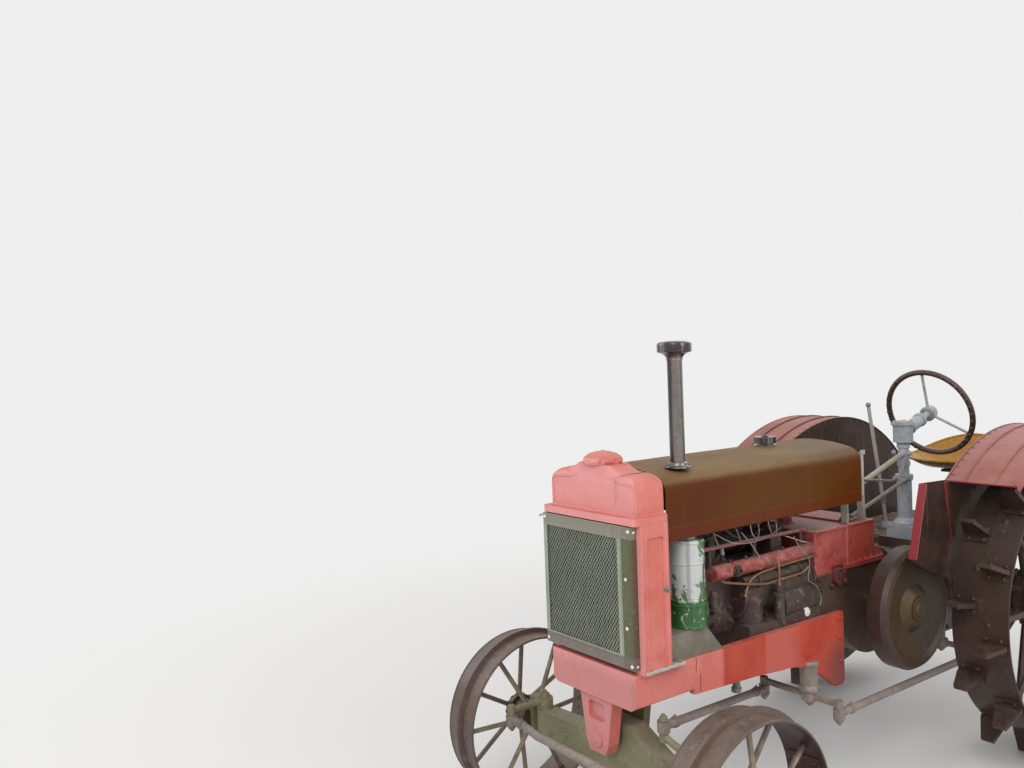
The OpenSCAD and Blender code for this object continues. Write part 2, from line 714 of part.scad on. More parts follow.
module pitman() {
    pivot = [pitman_at[0], pitman_at[1], relay_arm_z];
    color("gray") {
        rod_z(relay_arm_z, post_low_z + 34, pitman_at[0], pitman_at[1], relay_r);
        rod_z(relay_arm_z - end_r, relay_arm_z + end_r, pitman_at[0], pitman_at[1], 28);
        arm(pivot, [pitman_at[0] + rear_arm, pitman_at[1], relay_arm_z], link_z - eye_h / 2 - 3);
    }
}

// Wheels are built about their own axle, which lies along +Z, and then laid down

module front_wheel() {
    half = front_rim_w / 2;
    color("sienna") {
        rotate_extrude($fn = 96) polygon([[front_rim_r - front_rim_t, -half], [front_rim_r - 3, -half],
            [front_rim_r, -front_rib_w / 2], [front_r, -front_rib_w / 2 + 4], [front_r, front_rib_w / 2 - 4],
            [front_rim_r, front_rib_w / 2], [front_rim_r - 3, half], [front_rim_r - front_rim_t, half]]);
        difference() {
            union() {
                translate([0, 0, -56]) cylinder(h = 122, r = front_hub_r, $fn = 64);
                for (z = [-54, 33]) translate([0, 0, z]) cylinder(h = 22, r = front_hub_r + 12, $fn = 64);
            }
            translate([0, 0, -70]) cylinder(h = 116, r = spindle_r + run, $fn = 64);
        }
        for (i = [0:front_spokes - 1]) {
            a = 360 * i / front_spokes;
            z = i % 2 == 0 ? 45 : -43;
            bar([(front_hub_r - 4) * cos(a), (front_hub_r - 4) * sin(a), z],
                [(front_rim_r - front_rim_t + 3) * cos(a), (front_rim_r - front_rim_t + 3) * sin(a), z * 0.3],
                front_spoke_d);
        }
    }
}
module front_wheel_left() {
    translate([front_tread / 2, front_axle_y, front_r]) rotate([0, 90, 0]) front_wheel();
}
module front_wheel_right() {
    translate([-front_tread / 2, front_axle_y, front_r]) rotate([0, -90, 0]) front_wheel();
}

module lug() {
    // Spade with a wide foot and a narrow tip
    foot = 46;
    tip = 22;
    rotate([90, 0, 0]) translate([0, 0, -lug_t / 2]) linear_extrude(lug_t)
        polygon([[rear_rim_r - 4, -foot], [rear_rim_r + 20, -foot], [lug_tip_r, -tip], [lug_tip_r, tip],
            [rear_rim_r + 20, foot], [rear_rim_r - 4, foot]]);
}
module rear_wheel() {
    half = rear_rim_w / 2;
    color("sienna") {
        rotate_extrude($fn = 128) polygon([[rear_rim_r - rear_rim_t, -half], [rear_rim_r, -half],
            [rear_rim_r, half], [rear_rim_r - rear_rim_t, half]]);
        difference() {
            union() {
                translate([0, 0, -80]) cylinder(h = 166, r = rear_hub_r, $fn = 64);
                for (z = [-73, 46]) translate([0, 0, z]) cylinder(h = 28, r = rear_hub_r + 26, $fn = 64);
            }
            translate([0, 0, -90]) cylinder(h = 150, r = axle_shaft_r + run, $fn = 64);
        }
        for (i = [0:rear_spokes - 1]) {
            a = 360 * i / rear_spokes;
            z = i % 2 == 0 ? 61 : -59;
            bar([(rear_hub_r - 4) * cos(a), (rear_hub_r - 4) * sin(a), z],
                [(rear_rim_r - rear_rim_t + 3) * cos(a), (rear_rim_r - rear_rim_t + 3) * sin(a), z * 0.45],
                rear_spoke_d);
        }
        for (i = [0:lugs - 1]) rotate([0, 0, lug_step * (i + 0.5)]) translate([0, 0, (i % 2 == 0 ? 1 : -1) * 50]) lug();
    }
}
module rear_wheel_left() {
    translate([rear_tread / 2, rear_axle_y, rear_z]) rotate([0, 90, 0]) rear_wheel();
}
module rear_wheel_right() {
    translate([-rear_tread / 2, rear_axle_y, rear_z]) rotate([0, -90, 0]) rear_wheel();
}

housing_end_x = rear_tread / 2 - 84;
saddle_x = [210, 340];
saddle_r = 96;
module axle_housing() {
    color("indianred") for (s = [-1, 1]) translate([0, rear_axle_y, rear_z]) rotate([0, s * 90, 0]) {
        rotate_extrude($fn = 64) polygon([[0, gear_half + seat_gap], [150, gear_half + seat_gap], [150, gear_half + 22],
            [112, gear_half + 44], [saddle_r, saddle_x[0]], [saddle_r, saddle_x[1]], [84, saddle_x[1] + 20],
            [84, housing_end_x - 26], [98, housing_end_x - 22], [98, housing_end_x], [0, housing_end_x]]);
        translate([0, 0, housing_end_x - 20]) cylinder(h = rear_tread / 2 + 74 - housing_end_x, r = axle_shaft_r, $fn = 64);
    }
}

// Fenders, platform, seat and controls

fender_front_a = 127.4;
fender_rear_a = 30;
// Line of a fender's top from front to rear: a wide arc, then a tighter one behind the top
function fender_line(inset) = concat(
    arc(fender_c_y, fender_top_z - fender_front_r, fender_front_r - inset, fender_front_a, 92, 12),
    arc(fender_c_y, fender_top_z - fender_rear_r, fender_rear_r - inset, 90, fender_rear_a, 14));
nose_y = [1165, 1245];  // front edge of the side sheet, at its foot and at its top
nose_z = [860, 1122];
strip_y = [1408, 1446];
strip_w = 28;
module fender(side) {
    lip = 34;
    x_top = side > 0 ? fender_in_x : -fender_out_x;
    x_side = side > 0 ? fender_in_x : -fender_in_x - fender_t;
    x_lip = side > 0 ? fender_out_x - fender_t : -fender_out_x;
    x_flange = side > 0 ? fender_in_x : -fender_in_x - 30;
    x_strip = side > 0 ? fender_in_x : -fender_in_x - 12;
    color("lightcoral") {
        plate_x(x_top, x_top + fender_out_x - fender_in_x, concat(fender_line(0), flip(fender_line(fender_t))));
        plate_x(x_lip, x_lip + fender_t, concat(fender_line(0), flip(fender_line(lip))));
        difference() {
            plate_x(x_side, x_side + fender_t, concat([[nose_y[1], nose_z[1]]], fender_line(0),
                [[2480, 760], [2200, 700], [1560, 700], [1300, 790], [nose_y[0], nose_z[0]]]));
            rod_x(-800, 800, rear_axle_y, rear_z, 175);
        }
        // Turned-out front edge of the side sheet, and the strip under the top sheet's front end
        plate_x(x_flange, x_flange + 30, [[nose_y[0], nose_z[0]], [nose_y[1], nose_z[1]],
            [nose_y[1] + fender_t, nose_z[1]], [nose_y[0] + fender_t, nose_z[0]]]);
        plate_x(x_strip, x_strip + 12, [[strip_y[0], nose_z[1] - 12], [strip_y[0] + strip_w, nose_z[1] - 12],
            [strip_y[1] + strip_w, nose_z[0] + 30], [strip_y[1], nose_z[0] + 30]]);
    }
}
module fender_left() { fender(1); }
module fender_right() { fender(-1); }

platform_y = [1830, 2480];
module platform() {
    plate_low_z = platform_z - platform_t;
    half = fender_in_x - seat_gap;
    color("dimgray") difference() {
        union() {
            block([-half, platform_y[0], plate_low_z], [half, platform_y[1], platform_z]);
            for (s = [-1, 1]) {
                block([s * 275 - 20, platform_y[0], plate_low_z - 40], [s * 275 + 20, platform_y[1] - 10, plate_low_z + 1]);
                block([s * 275 - 20, rear_axle_y - 50, rear_z + 60], [s * 275 + 20, rear_axle_y + 50, plate_low_z]);
            }
        }
        rod_x(-600, 600, rear_axle_y, rear_z, saddle_r + seat_gap);
    }
    // Seat spring: a flat bar that runs back over the platform and bends up to the seat
    color("dimgray") translate([0, seat_y, 0]) plate_x(-32, 32, [[-200, platform_z - 1], [46, platform_z - 1],
        [70, platform_z + 22], [82, seat_z - 60], [40, seat_low_z - seat_gap], [-70, seat_low_z - seat_gap],
        [-70, seat_low_z - 12], [34, seat_low_z - 12], [68, seat_z - 65], [58, platform_z + 28],
        [40, platform_z + 11], [-200, platform_z + 11]]);
}
seat_low_z = seat_z - 20;
module seat() {
    color("goldenrod") translate([0, seat_y, seat_low_z]) {
        rotate_extrude($fn = 64) polygon([[0, 0], [110, 0], [170, 16], [seat_r, 58], [seat_r + 4, 64], [seat_r - 4, 66],
            [166, 26], [106, 8], [0, 8]]);
        // Raised back
        intersection() {
            rotate_extrude($fn = 64) polygon([[seat_r - 6, 56], [seat_r + 2, 56], [seat_r + 10, 140], [seat_r + 2, 140]]);
            block([-150, 60, 0], [150, 300, 200]);
        }
    }
}

// Round bar along the steering shaft, between two distances from the post's middle
module along_shaft(l0, l1, r) {
    translate([post_at[0], post_at[1], shaft_z]) rotate([steering_slope - 90, 0, 0]) translate([0, 0, l0])
        cylinder(h = l1 - l0, r = r, $fn = 48);
}
shaft_r = 14;
nose_l = [20, 150];
module steering_post() {
    x = post_at[0];
    y = post_at[1];
    color("lightsteelblue") difference() {
        union() {
            // Lower box on the gear case, which the pitman's shaft enters from below
            block([x - 52, y - 58, post_low_z], [pitman_at[0] + relay_r + 14, y + 42, post_low_z + 52]);
            rod_z(post_low_z + 50, 1060, x, y, 30);
            rod_z(1050, post_top_z - 60, x, y, 22);
            rod_z(1050, 1072, x, y, 36);
            // Worm box at the top
            rod_z(post_top_z - 84, post_top_z - 8, x, y, 40);
            rod_z(post_top_z - 10, post_top_z, x, y, 48);
            along_shaft(nose_l[0], nose_l[1], 26);
        }
        along_shaft(60, nose_l[1] + 1, shaft_r + run);
        rod_z(post_low_z - 1, post_low_z + 36, pitman_at[0], pitman_at[1], relay_r + run);
    }
    // Brace forward to the hood's rear bracket
    color("lightsteelblue") bar([x + 4, y - 4, 1165], [130, bracket_y + 8 + seat_gap + 6, 1060], 22);
}
module steering_wheel() {
    color("black") {
        along_shaft(62, wheel_out, shaft_r);
        translate([post_at[0], post_at[1], shaft_z]) rotate([steering_slope - 90, 0, 0]) translate([0, 0, wheel_out]) {
            rotate_extrude($fn = 96) translate([steering_wheel_r - steering_rim_d / 2, 0]) circle(d = steering_rim_d, $fn = 24);
            translate([0, 0, -21]) cylinder(h = 34, r = 30, $fn = 48);
            for (a = [270, 30, 150]) bar([20 * cos(a), 20 * sin(a), -6],
                [(steering_wheel_r - 12) * cos(a), (steering_wheel_r - 12) * sin(a), 0], 12);
        }
    }
}
module clutch_lever() {
    color("lightgray") {
        bar([-200, 2000, platform_z + 14], [-200, 1875, 1360], 16);
        rod_z(platform_z + seat_gap, platform_z + 26, -200, 2000, 22);
    }
}
hitch_r = 14;
drawbar_half = 38;
drawbar_y = 1600;
drawbar_z = [330, 358];
module drawbar() {
    end_y = drawbar_end_y - drawbar_half;
    color("dimgray") difference() {
        union() {
            block([-drawbar_half, drawbar_y, drawbar_z[0]], [drawbar_half, end_y, drawbar_z[1]]);
            rod_z(drawbar_z[0], drawbar_z[1], 0, end_y, drawbar_half);
            // Hangers under the main case
            for (y = [drawbar_y + 40, rear_axle_y + 30])
                block([-60, y, drawbar_z[1] - weld], [60, y + 50, case_low_z - seat_gap]);
        }
        rod_z(drawbar_z[0] - 10, drawbar_z[1] + 10, 0, end_y, hitch_r);
    }
}

module place() { translate([0, -middle_y, 0]) children(); }
place() front_frame();
place() side_rail_left();
place() side_rail_right();
place() radiator_tank();
place() radiator_cap();
place() radiator_sides();
place() radiator_core();
place() radiator_guard();
place() hood();
place() fuel_tank();
place() fuel_cap();
place() hood_bracket();
place() air_cleaner();
place() air_stack();
place() cylinder_head();
place() cylinder_block();
place() side_pipe();
place() manifold();
place() carburettor();
place() magneto();
place() main_case();
place() crankshaft();
place() flywheel();
place() belt_pulley();
place() front_axle();
place() knuckle_left();
place() knuckle_right();
place() tie_rod();
place() drag_link();
place() steering_relay();
place() rear_link();
place() pitman();
place() front_wheel_left();
place() front_wheel_right();
place() axle_housing();
place() rear_wheel_left();
place() rear_wheel_right();
place() fender_left();
place() fender_right();
place() platform();
place() seat();
place() steering_post();
place() steering_wheel();
place() clutch_lever();
place() drawbar();
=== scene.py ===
"""Looks of a vintage two-cylinder farm tractor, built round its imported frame.

Metres. +X is the tractor's left, +Y its rear, +Z up, and the floor is z = 0.
Places along the tractor are counted from the front plane of the radiator guard."""

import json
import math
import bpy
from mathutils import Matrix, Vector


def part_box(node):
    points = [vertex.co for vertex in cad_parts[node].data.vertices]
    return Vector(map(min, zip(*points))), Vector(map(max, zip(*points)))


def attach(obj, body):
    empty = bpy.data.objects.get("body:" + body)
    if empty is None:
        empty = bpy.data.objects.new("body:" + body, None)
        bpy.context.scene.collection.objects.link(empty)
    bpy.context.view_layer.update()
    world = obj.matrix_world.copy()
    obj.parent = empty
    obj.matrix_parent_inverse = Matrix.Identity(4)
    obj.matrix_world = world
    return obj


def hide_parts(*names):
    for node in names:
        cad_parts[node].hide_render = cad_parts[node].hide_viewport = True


bl_info = {
    "name": "Vintage tractor looks",
    "version": (1, 0, 0),
    "blender": (4, 5, 0),
    "location": "3D View > Sidebar > Tractor",
    "description": "Finishes and fine pieces of a vintage farm tractor on steel wheels",
    "category": "Add Mesh",
}

import bmesh
import bpy
import numpy as np
from mathutils import Matrix, Vector

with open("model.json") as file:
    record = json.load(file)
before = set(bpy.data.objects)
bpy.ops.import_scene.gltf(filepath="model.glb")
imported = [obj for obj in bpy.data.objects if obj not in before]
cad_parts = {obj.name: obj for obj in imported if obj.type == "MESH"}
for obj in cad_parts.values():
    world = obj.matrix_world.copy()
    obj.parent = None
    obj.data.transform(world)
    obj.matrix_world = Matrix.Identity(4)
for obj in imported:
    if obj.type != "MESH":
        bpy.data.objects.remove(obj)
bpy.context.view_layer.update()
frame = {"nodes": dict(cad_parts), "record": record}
GUARD_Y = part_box("radiator_guard")[0].y
SEED = 7
TAU = 2 * math.pi
ORIGIN = (0, 0, 0)
LEFT, RIGHT, FRONT, REAR, TOP, DOWN = (1, 0, 0), (-1, 0, 0), (0, -1, 0), (0, 1, 0), (0, 0, 1), (0, 0, -1)

# Small pieces start this far inside what they stand on
SUNK = -0.001

# Places that several pieces share, in metres from the guard's front plane
FRONT_AXLE_Y, FRONT_AXLE_Z = 0.115, 0.311
REAR_AXLE_Y = 1.9
CRANK_Y, CRANK_Z = 1.315, 0.638
CYLINDER_X, CYLINDER_Z = 0.072, 0.782
SIDE_PIPE_X, SIDE_PIPE_Z = 0.14, 0.828
CLEANER_X, CLEANER_Y = 0.15, 0.292
KING_PIN_X, TIE_ROD_Y = 0.4, -0.035
LINK_X, LINK_Z, LINK_LOW = 0.307, 0.352, 0.332
ARM_X, RELAY_Y, PITMAN_Y = 0.187, 0.86, 1.75
TANK_SHOULDER, TANK_ROUND, TANK_FACE = 1.23, 0.034, 0.062
CASE_HALF, CASE_TOP = 0.15, 0.946
DECK_TOP = 0.775
POST_X, POST_Y = 0.04, 1.752


def spot(x, y, z):
    """A place counted from the guard's front plane, in the frame's own coordinates."""
    return np.array([x, y + GUARD_Y, z])


def node_box(name):
    """A node's low and high corners as arrays, with Y counted from the guard's front plane."""
    low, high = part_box(name)
    shift = np.array([0, GUARD_Y, 0])
    return np.array(low) - shift, np.array(high) - shift


# Shapes: every function returns (vertices, faces), with faces as lists of corner numbers


def grid_faces(rows, columns, wrap_rows=False, wrap_columns=False):
    """Quads of a grid of rows x columns points, joined end to start where a direction wraps."""
    r = np.arange(rows if wrap_rows else rows - 1)[:, None]
    c = np.arange(columns if wrap_columns else columns - 1)[None, :]
    r2, c2 = (r + 1) % rows, (c + 1) % columns
    corners = [r * columns + c, r * columns + c2, r2 * columns + c2, r2 * columns + c]
    return np.stack([np.broadcast_to(k, np.broadcast(r, c).shape).ravel() for k in corners], 1).tolist()


def joined(*shapes):
    """Several shapes as one, each face's corner numbers moved past the points before it."""
    points, faces, count = [], [], 0
    for vertices, polygons in shapes:
        vertices = np.asarray(vertices, float)
        points.append(vertices)
        faces += [[i + count for i in polygon] for polygon in polygons]
        count += len(vertices)
    return np.concatenate(points), faces


def unit(v):
    """Vectors scaled to length one along the last axis."""
    v = np.asarray(v, float)
    return v / np.maximum(np.linalg.norm(v, axis=-1, keepdims=True), 1e-12)


def basis(axis):
    """Two unit vectors square to an axis and to each other, and the axis itself as a unit vector."""
    w = unit(axis)
    helper = np.array([0.0, 0.0, 1.0]) if abs(w[2]) < 0.9 else np.array([1.0, 0.0, 0.0])
    u = unit(np.cross(helper, w))
    return u, np.cross(w, u), w


def lathe(profile, centre, axis, sides=48):
    """A profile of (radius, distance) turned round an axis: centre + l w + r (cos a u + sin a v).

    Ends at radius 0 close in a pole; the rows of the grid are the profile's points."""
    u, v, w = basis(axis)
    profile = np.asarray(profile, float)
    a = np.arange(sides) * TAU / sides
    ring = np.cos(a)[:, None] * u + np.sin(a)[:, None] * v
    points = np.asarray(centre) + profile[:, None, 1:2] * w + profile[:, None, 0:1] * ring[None]
    faces = [f[::-1] for f in grid_faces(len(profile), sides, wrap_columns=True)]
    return points.reshape(-1, 3), faces


def smooth_line(points, steps=8, closed=False):
    """Catmull-Rom line through points: cubics whose end slopes are half the chord between neighbours."""
    p = np.asarray(points, float)
    if closed:
        p = np.concatenate([p[-1:], p, p[:2]])
    else:
        p = np.concatenate([2 * p[:1] - p[1:2], p, 2 * p[-1:] - p[-2:-1]])
    t = (np.arange(steps) / steps)[None, :, None]
    a, b, c, d = (p[i:len(p) - 3 + i][:, None] for i in range(4))
    slope, bend, twist = c - a, 2 * a - 5 * b + 4 * c - d, 3 * b - a - 3 * c + d
    line = 0.5 * (2 * b + slope * t + bend * t ** 2 + twist * t ** 3)
    line = line.reshape(-1, 3)
    return line if closed else np.concatenate([line, p[-2:-1]])


def carried(section, line, closed=False, up=(0, 0, 1)):
    """A closed section (across, rise) carried along a line: line(t) + across s(t) + rise n(t).

    s is square to the line and to the up direction, and n to both. Open ends are closed by a face."""
    line, section = np.asarray(line, float), np.asarray(section, float)
    if closed:
        ahead = unit(np.roll(line, -1, 0) - np.roll(line, 1, 0))
    else:
        ahead = unit(np.gradient(line, axis=0))
    side = unit(np.cross(ahead, np.asarray(up, float)))
    rise = np.cross(side, ahead)
    points = line[:, None] + section[None, :, 0:1] * side[:, None] + section[None, :, 1:2] * rise[:, None]
    n = len(section)
    faces = grid_faces(len(line), n, wrap_rows=closed, wrap_columns=True)
    if not closed:
        last = (len(line) - 1) * n
        faces += [list(range(n))[::-1], [last + i for i in range(n)]]
    return points.reshape(-1, 3), faces


def circle(radius, sides=12):
    """Points of a circle about the origin, radius (cos a, sin a)."""
    a = np.arange(sides) * TAU / sides
    return np.stack([radius * np.cos(a), radius * np.sin(a)], 1)


def tube(points, radius, sides=12, steps=8, closed=False):
    """A round bar or pipe of one radius along a smooth line through points."""
    line = smooth_line(points, steps, closed) if steps > 1 else np.asarray(points, float)
    total = unit(line[-1] - line[0]) if not closed else np.array([0, 0, 0])
    up = (0, 0, 1) if abs(total[2]) < 0.85 else (0.3, 1, 0.1)
    return carried(circle(radius, sides), line, closed, up)


def ball(centre, radius, squash=1.0, sides=20):
    """A sphere as a lathe of its half circle, its height scaled by squash."""
    a = np.linspace(-math.pi / 2, math.pi / 2, 11)
    return lathe(np.stack([radius * np.cos(a), squash * radius * np.sin(a)], 1), centre, TOP, sides)


def turned(shape, place, axis):
    """A shape drawn round +Z at the origin, stood on a place along an axis: place + x u + y v + z w."""
    vertices, faces = shape
    return np.asarray(place, float) + np.asarray(vertices) @ np.stack(basis(axis)), faces


def many(shape, places, axes):
    """Copies of one shape drawn round +Z, one at each place along its axis, or along one axis for all."""
    if np.ndim(axes) == 1:
        axes = [axes] * len(places)
    return joined(*[turned(shape, place, axis) for place, axis in zip(places, axes)])


def ring(centre, axis, radius, count, start=0.0):
    """Places evenly round an axis: centre + radius (cos a u + sin a v)."""
    u, v, _ = basis(axis)
    a = start + np.arange(count) * TAU / count
    return np.asarray(centre, float) + radius * (np.cos(a)[:, None] * u + np.sin(a)[:, None] * v)


def band(inner, outer, half, centre, axis, sides, at=0.0):
    """A ring of square section round an axis, half its width to each side of a place on the axis."""
    profile = [(inner, at - half), (outer, at - half), (outer, at + half), (inner, at + half)]
    return lathe(profile, centre, axis, sides)


def hexagon(size, stud=0.0, washer=True):
    """A hexagon head or nut on a washer, drawn round +Z, with an end of its stud above it."""
    head = [(0, 0), (size, 0), (size, size * 0.72), (size * 0.86, size * 0.92), (0, size * 0.92)]
    parts = [lathe(head, ORIGIN, TOP, 6)]
    if washer:
        plate = [(0, SUNK), (size * 1.35, SUNK), (size * 1.35, size * 0.2), (0, size * 0.2)]
        parts.append(lathe(plate, ORIGIN, TOP, 14))
    if stud:
        end = [(0, size * 0.9), (size * 0.5, size * 0.9), (size * 0.5, size * 0.9 + stud),
               (size * 0.4, size + stud), (0, size + stud)]
        parts.append(lathe(end, ORIGIN, TOP, 10))
    return joined(*parts)


def dome(radius, height, sides=12):
    """A low rivet head drawn round +Z, a lathe of a flattened quarter circle."""
    a = np.linspace(0, math.pi / 2, 4)
    profile = [(0, SUNK), *[(radius * math.cos(t), height * math.sin(t)) for t in a]]
    return lathe(profile, ORIGIN, TOP, sides)


def disc(radius, height, edge=0.0015, sides=32, bore=0.0):
    """A round plate drawn round +Z with a softened upper edge, or a ring if it has a bore."""
    profile = [(bore, SUNK), (radius, SUNK), (radius, height - edge), (radius - edge, height), (bore, height)]
    if bore:
        profile.append((bore, SUNK))
    return lathe(profile, ORIGIN, TOP, sides)


def box_shape(low, high):
    """A box between two corners, its faces pointing out."""
    low, high = np.asarray(low, float), np.asarray(high, float)
    corner = np.array([[i & 1, i >> 1 & 1, i >> 2 & 1] for i in range(8)])
    faces = [[0, 2, 3, 1], [4, 5, 7, 6], [0, 1, 5, 4], [2, 6, 7, 3], [0, 4, 6, 2], [1, 3, 7, 5]]
    return low + corner * (high - low), faces


def sheet_between(points_a, points_b):
    """A closed thin shell between two grids of points: both faces and the wall round them."""
    rows, columns = points_a.shape[:2]
    front = grid_faces(rows, columns)
    count = rows * columns
    back = [[i + count for i in f[::-1]] for f in front]
    edge = [*range(columns), *[r * columns + columns - 1 for r in range(1, rows)],
            *[(rows - 1) * columns + c for c in range(columns - 2, -1, -1)],
            *[r * columns for r in range(rows - 2, 0, -1)]]
    wall = [[edge[i], edge[i] + count, edge[(i + 1) % len(edge)] + count, edge[(i + 1) % len(edge)]]
            for i in range(len(edge))]
    return np.concatenate([points_a.reshape(-1, 3), points_b.reshape(-1, 3)]), front + back + wall


def make_piece(name, shape, finish, body, replaces=(), smooth=40, bevel=0.0):
    """One mesh object from a shape, finished, riding on a body and standing for the nodes that it replaces.

    The shape's places are counted from the guard's front plane."""
    vertices, faces = shape
    mesh = bpy.data.meshes.new(name)
    mesh.from_pydata((np.asarray(vertices, float) + [0, GUARD_Y, 0]).tolist(), [], faces)
    mesh.validate()
    piece = bpy.data.objects.new(name, mesh)
    bpy.context.scene.collection.objects.link(piece)
    work = bmesh.new()
    work.from_mesh(mesh)
    bmesh.ops.remove_doubles(work, verts=work.verts, dist=1e-6)
    bmesh.ops.dissolve_degenerate(work, edges=work.edges, dist=1e-6)
    bmesh.ops.recalc_face_normals(work, faces=work.faces)
    for face in work.faces:
        face.smooth = True
    limit = math.radians(smooth)
    for edge in work.edges:
        edge.smooth = not (edge.is_manifold and edge.calc_face_angle(0) > limit)
    work.to_mesh(mesh)
    work.free()
    if bevel:
        modifier = piece.modifiers.new("soft edges", "BEVEL")
        modifier.width, modifier.segments, modifier.limit_method = bevel, 2, "ANGLE"
    mesh.materials.append(FINISHES[finish])
    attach(piece, body)
    if replaces:
        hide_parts(*replaces)
    return piece


# Shader maths


class Signal:
    """A shader socket on which sums, products and clamps are written as plain expressions."""

    def __init__(self, finish, socket):
        self.finish, self.socket = finish, socket

    def maths(self, operation, a, b=0.5):
        return self.finish.node("ShaderNodeMath", {"operation": operation}, {0: a, 1: b})

    def __add__(self, other):
        return self.maths("ADD", self, other)

    def __sub__(self, other):
        return self.maths("SUBTRACT", self, other)

    def __rsub__(self, other):
        return self.maths("SUBTRACT", other, self)

    def __mul__(self, other):
        return self.maths("MULTIPLY", self, other)

    def __truediv__(self, other):
        return self.maths("DIVIDE", self, other)

    def __pow__(self, other):
        return self.maths("POWER", self, other)

    def __abs__(self):
        return self.maths("ABSOLUTE", self)

    def wave(self):
        return self.maths("SINE", self)

    def larger(self, other):
        return self.maths("MAXIMUM", self, other)

    __radd__, __rmul__ = __add__, __mul__


class Finish:
    """One material being built: its nodes come from node(), and its layers from the methods below it.

    Its coordinates, where, are counted from the guard's front plane."""

    def __init__(self, name):
        self.material = bpy.data.materials.new(name)
        self.material.use_nodes = True
        self.tree = self.material.node_tree
        self.shader = self.tree.nodes["Principled BSDF"]
        self.place = self.node("ShaderNodeTexCoord", {}, {}, "Object")
        self.facing = self.split(self.node("ShaderNodeTexCoord", {}, {}, "Normal"))
        x, y, z = self.split(self.place)
        self.where = x, y - GUARD_Y, z

    def node(self, kind, settings, sockets, output=0):
        """Adds a node, applies its settings first, then sets or links its sockets, and returns one output."""
        node = self.tree.nodes.new(kind)
        for key, value in settings.items():
            setattr(node, key, value)
        for key, value in sockets.items():
            if isinstance(value, Signal):
                self.tree.links.new(value.socket, node.inputs[key])
            else:
                node.inputs[key].default_value = value
        return Signal(self, node.outputs[output])

    def split(self, vector):
        """The X, Y and Z of a vector as three numbers."""
        node = self.tree.nodes.new("ShaderNodeSeparateXYZ")
        self.tree.links.new(vector.socket, node.inputs[0])
        return [Signal(self, output) for output in node.outputs]

    def stretched(self, factors):
        """The object's coordinates times one factor along each axis."""
        return self.node("ShaderNodeVectorMath", {"operation": "MULTIPLY"}, {0: self.place, 1: factors})

    def noise(self, scale, detail=4, rough=0.55, stretch=(1, 1, 1), bend=0.0):
        """Cloudy noise from 0 to 1 at a scale in waves a metre, stretched along the axes."""
        return self.node("ShaderNodeTexNoise", {}, {"Vector": self.stretched(stretch), "Scale": scale,
                                                    "Detail": detail, "Roughness": rough, "Distortion": bend})

    def between(self, value, low, high):
        """0 below low, 1 above high and a smooth step from one to the other."""
        return self.node("ShaderNodeMapRange", {"interpolation_type": "SMOOTHSTEP"},
                         {"Value": value, "From Min": low, "From Max": high})

    def fall(self, value, low, high):
        """1 below low, 0 above high and a smooth step from one to the other."""
        return 1 - self.between(value, low, high)

    def mix(self, factor, a, b, kind="MIX"):
        """Colour a where the factor is 0 and colour b where it is 1."""
        colours = [c if isinstance(c, Signal) else (*c, 1) for c in (a, b)]
        return self.node("ShaderNodeMix", {"data_type": "RGBA", "blend_type": kind},
                         {0: factor, 6: colours[0], 7: colours[1]}, 2)

    def blotches(self, noise, low, high, first, second):
        """Two screen colours in blotches, one to the other where the noise rises from low to high."""
        return self.mix(self.between(noise, low, high), paint(*first), paint(*second))

    def distance(self, u, v, *more):
        """How far a place is from the point where each of its coordinates is 0."""
        total = u ** 2 + v ** 2
        for w in more:
            total = total + w ** 2
        return total ** 0.5

    def finish(self, colour, roughness, metallic=0.0, coat=0.0, bumps=(), specular=0.5):
        """Connects the layers to the shader; bumps are (height, strength, distance)."""
        normal = None
        for height, strength, distance in bumps:
            sockets = {"Height": height, "Strength": strength, "Distance": distance}
            if normal is not None:
                sockets["Normal"] = normal
            normal = self.node("ShaderNodeBump", {}, sockets)
        layers = {"Base Color": colour, "Roughness": roughness, "Metallic": metallic, "Coat Weight": coat,
                  "Specular IOR Level": specular}
        if normal is not None:
            layers["Normal"] = normal
        for key, value in layers.items():
            if isinstance(value, Signal):
                self.tree.links.new(value.socket, self.shader.inputs[key])
            else:
                self.shader.inputs[key].default_value = value if not isinstance(value, tuple) else (*value, 1)
        return self.material


FINISHES = {}


def paint(red, green, blue):
    """Screen values from 0 to 255 as the linear numbers that shaders take."""
    return tuple(((v / 255 + 0.055) / 1.055) ** 2.4 for v in (red, green, blue))


